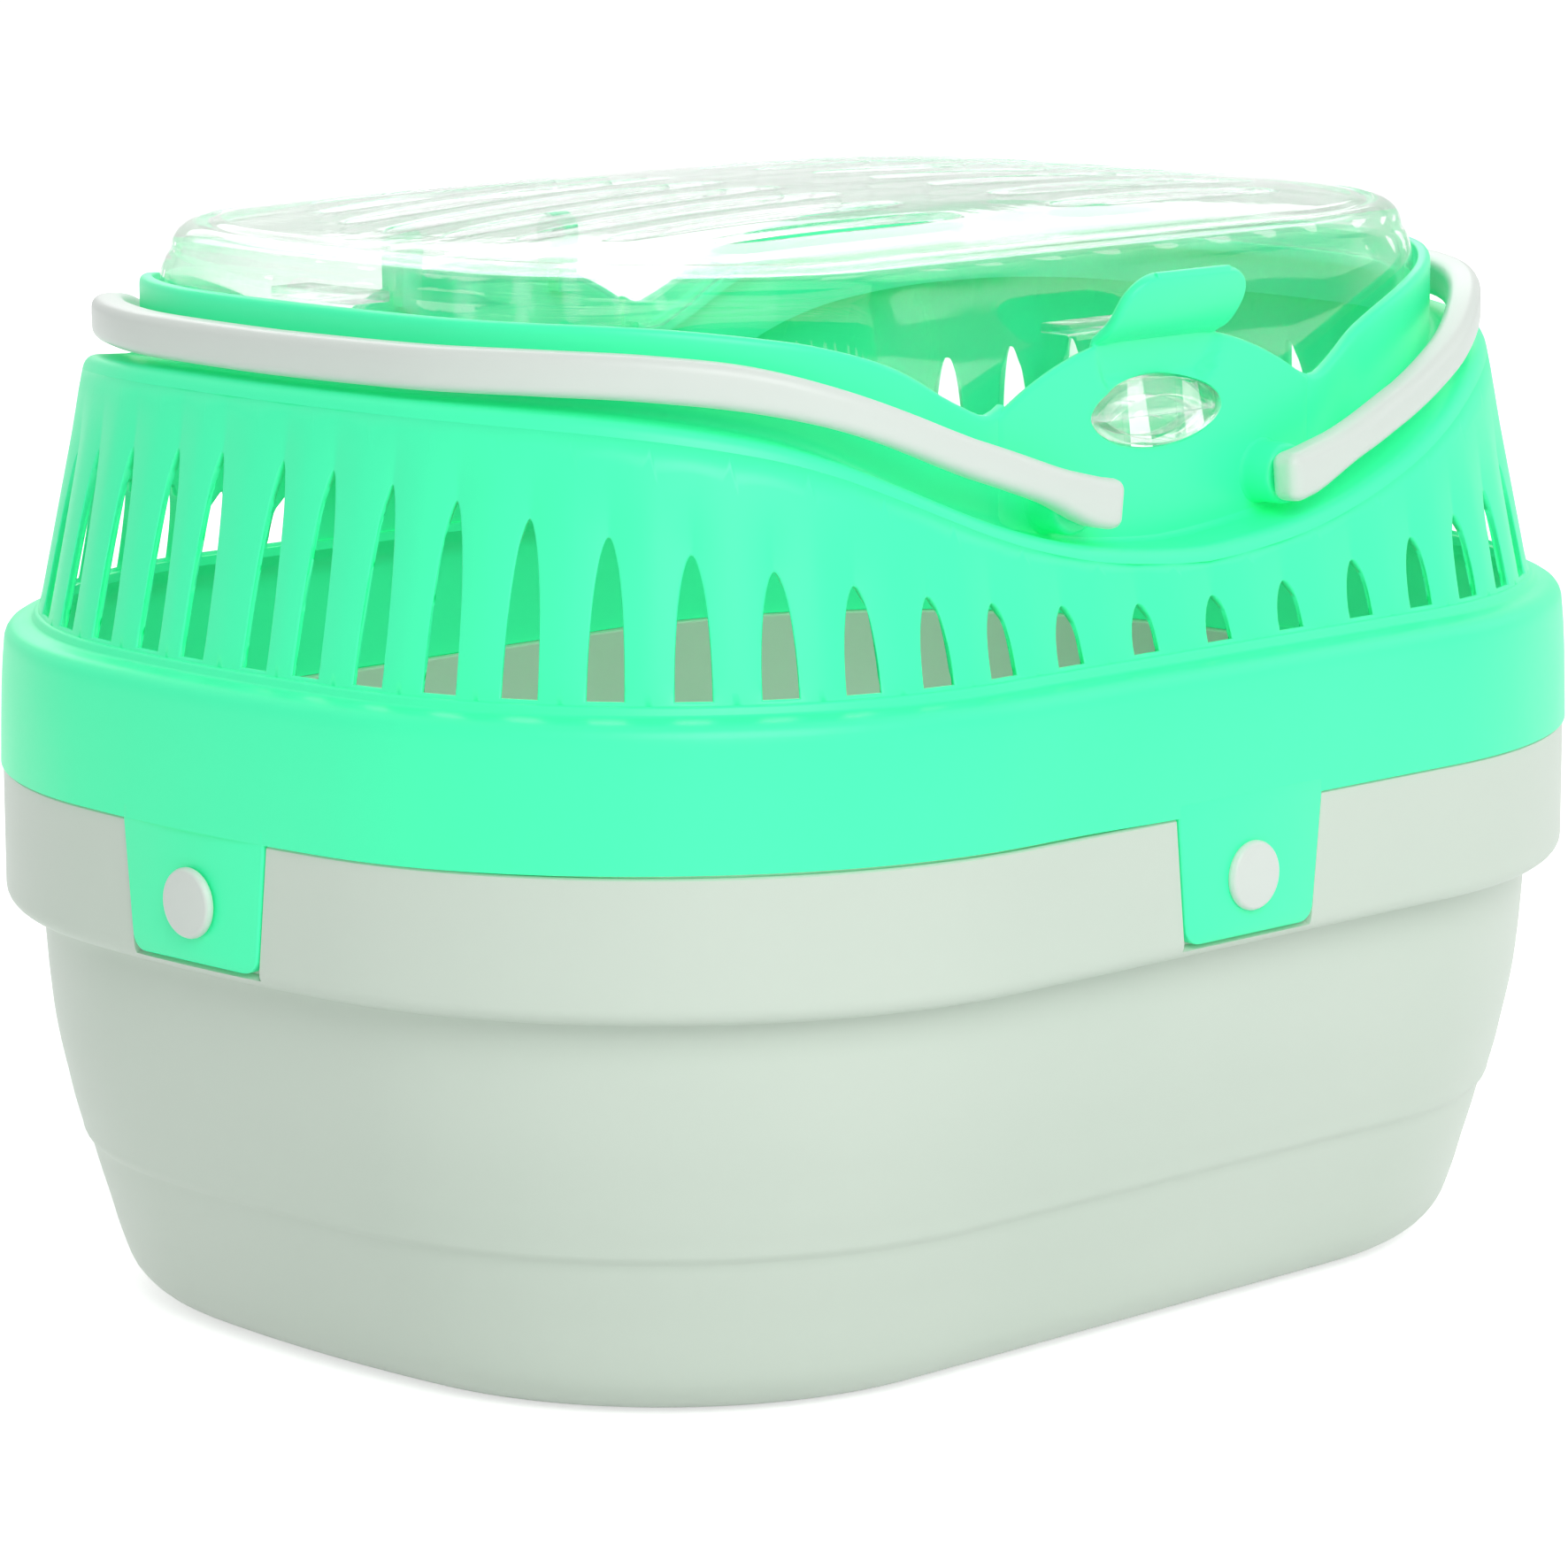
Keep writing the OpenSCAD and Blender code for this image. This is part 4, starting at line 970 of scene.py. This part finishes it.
def block(centre, half):
    """A small bar with rounded edges: loops of a rounded rectangle along X, eased at both ends."""
    x = np.array([-1, -1, 1, 1]) * half[0] + np.array([0, EASE, -EASE, 0])
    ease = np.array([EASE, 0, 0, EASE])
    a, b = rounded(half[1] - ease, half[2] - ease, BLOCK_R, 4)
    return np.array(centre) + spread(x[:, None], a, b)


web = block((0, 86.4, hinge_z), (17.8, 2.2, 1.8))
lug_x, lug_z, lug_half = HALF_L - 34.2, 193.55, (4.6, 11, 0.95)
lugs = [tube(block((side * lug_x, 0, lug_z), lug_half)) for side in (-1, 1)]
piece("lid_fittings", [tube(barrel), tube(web), *lugs], clear.material, "lid", ["clear_lid"], "clear")

# %% [markdown]
# ## The catch
# Behind the front shield the lid carries a springy tongue, and an eye-shaped clear button on it shows
# through the shield's window. The button is hollow from behind, so its walls catch the light as two rims.
# Its rings go out along the walls, over the face and back in. Each has a share, from the window's oval to a
# pointed eye, a size, and a distance in front of the shield.

# %% Catch button and tongue
POINTED_HALF, POINTED_TALL, EYE_GAP = 14.4, 4.1, 0.2
a = np.linspace(-math.pi, math.pi, 120, endpoint=False)
pointed = eye_reach(a, POINTED_HALF, POINTED_TALL)
oval = eye_oval(a, -EYE_GAP)
button_rows = np.array(
    [
        *[(0, 1, -4.5), (0, 1, -1), (0, 1, 0.7), (0, 0.98, 1.0), (0.08, 0.98, 1.05), (0.3, 0.98, 1.15)],
        *[(0.6, 0.99, 1.25), (0.85, 1, 1.3), (1, 1, 1.3), (1, 0.93, 0.75), (1, 0.88, 0.7), (1, 0.6, 0.75)],
        *[(1, 0.3, 0.85), (1, 0.02, 0.9), (1, 0.02, -1.2), (1, 0.5, -1.1), (1, 0.86, -1.0), (1, 0.9, -4.5)],
    ]
)
eye_share, size, stands = (column[:, None] for column in button_rows.T)
reach = (oval * (1 - eye_share) + pointed * eye_share) * size
button = spread(reach * np.cos(a), -shield_y - stands, EYE_Z - eye_share + reach * np.sin(a))
tongue_path = np.array(
    [
        *[(-88.6, 161.5), (-88.6, 165), (-88.6, 175), (-88.6, 184.2)],
        *[(-88.2, 185.5), (-87.2, 186.1), (-85.5, 186.1), (-81, 186.1)],
    ]
)
way = np.gradient(tongue_path, axis=0)
way /= np.linalg.norm(way, axis=1, keepdims=True)
TONGUE_HALF, TONGUE_HALF_T = 19.0, 0.9
wide, thick = rounded(TONGUE_HALF, TONGUE_HALF_T, BLOCK_R, 4)
tongue = spread(wide, tongue_path[:, :1] - thick * way[:, 1:], tongue_path[:, 1:] + thick * way[:, :1])
catch_sheets = [(button, True, True), tube(tongue)]
piece("catch_button_and_tongue", catch_sheets, clear.material, "catch", ["lid_catch"], "clear")

# %% [markdown]
# ## Camera, floor and light
# The camera stands low at the front left corner, far away with a long lens, so that upright lines stay
# upright. Three soft boxes stand round the keeper, as in a product booth. The floor and the world look
# white to the camera. In reflections the world is bright behind the keeper and dim in front of it, which
# draws the clear lid's edges, and for all other rays it is an even fill.

# %% Camera
camera = bpy.data.objects.new("camera", bpy.data.cameras.new("camera"))
bpy.context.scene.collection.objects.link(camera)
camera.data.sensor_width, camera.data.lens = 36, 144.41
camera.data.clip_start, camera.data.clip_end = 0.05, 20
back = Vector((-0.69018, -0.70057, 0.18125)).normalized()
turned = back.to_track_quat("Z", "Y").to_matrix().to_4x4() @ Matrix.Rotation(math.radians(-0.128), 4, "Z")
camera.matrix_world = Matrix.Translation(Vector((-835.81, -844.63, 309.44)) * MM) @ turned
bpy.context.scene.camera = camera
bpy.context.scene.view_settings.view_transform = "Standard"


# %% Floor, world and lamps
def rays(paint, *kinds):
    """1 for rays of the named kinds and 0 for all others."""
    flags = [paint.node("ShaderNodeLightPath", output=f"Is {kind} Ray") for kind in kinds]
    return sum(flags[1:], flags[0]).clamp()


studio = Paint("studio_floor")
studio.tree.nodes.remove(studio.shader)
matt = studio.node("ShaderNodeBsdfDiffuse", {}, {"Color": (0.86, 0.86, 0.86, 1)})
shine = rays(studio, "Camera", "Glossy", "Transmission") * 0.6
glow = studio.node("ShaderNodeEmission", {}, {"Color": (1, 1, 1, 1), "Strength": shine})
both = studio.node("ShaderNodeAddShader", {}, {0: matt, 1: glow})
studio.feed(studio.tree.nodes["Material Output"].inputs["Surface"], both)
floor_mesh = bpy.data.meshes.new("floor")
floor_mesh.from_pydata([(-6, -6, 0), (6, -6, 0), (6, 6, 0), (-6, 6, 0)], [], [(0, 1, 2, 3)])
floor_mesh.materials.append(studio.material)
floor = bpy.data.objects.new("floor", floor_mesh)
bpy.context.scene.collection.objects.link(floor)

WORLD_FILL, DIM_FRONT = 0.55, 0.25
world = bpy.data.worlds.new("studio")
bpy.context.scene.world = world
world.use_nodes = True
sky = Paint("sky", world.node_tree)
heading = sky.node("ShaderNodeTexCoord", output="Generated")
REARWARD = (0.69, 0.70, 0.18)
away = sky.node("ShaderNodeVectorMath", {"operation": "DOT_PRODUCT"}, {0: heading, 1: REARWARD}, "Value")
mirrored = DIM_FRONT + (1 - DIM_FRONT) * (away * 1.5 + 0.05).clamp()
looked = rays(sky, "Camera", "Transmission")
glossy = rays(sky, "Glossy")
backdrop = world.node_tree.nodes["Background"].inputs
backdrop["Color"].default_value = (1, 1, 1, 1)
sky.feed(backdrop["Strength"], looked + (1 - looked) * (glossy * mirrored + (1 - glossy) * WORLD_FILL))


def lamp(name, place, aim, size, power):
    """A square soft box at a place, turned to a point, with its power in watts."""
    light = bpy.data.lights.new(name, "AREA")
    light.size, light.energy = size, power
    obj = bpy.data.objects.new(name, light)
    bpy.context.scene.collection.objects.link(obj)
    obj.location = place
    obj.rotation_mode = "QUATERNION"
    obj.rotation_quaternion = (Vector(aim) - Vector(place)).to_track_quat("-Z", "Y")
    return obj


lamp("key", (-0.75, -1.5, 1.25), (0, 0, 0.1), 1.2, 19)
lamp("fill", (1.6, -0.9, 1.0), (0, 0, 0.1), 1.2, 3)
lamp("back", (1.0, 1.3, 1.3), (0, 0, 0.2), 1.5, 11)
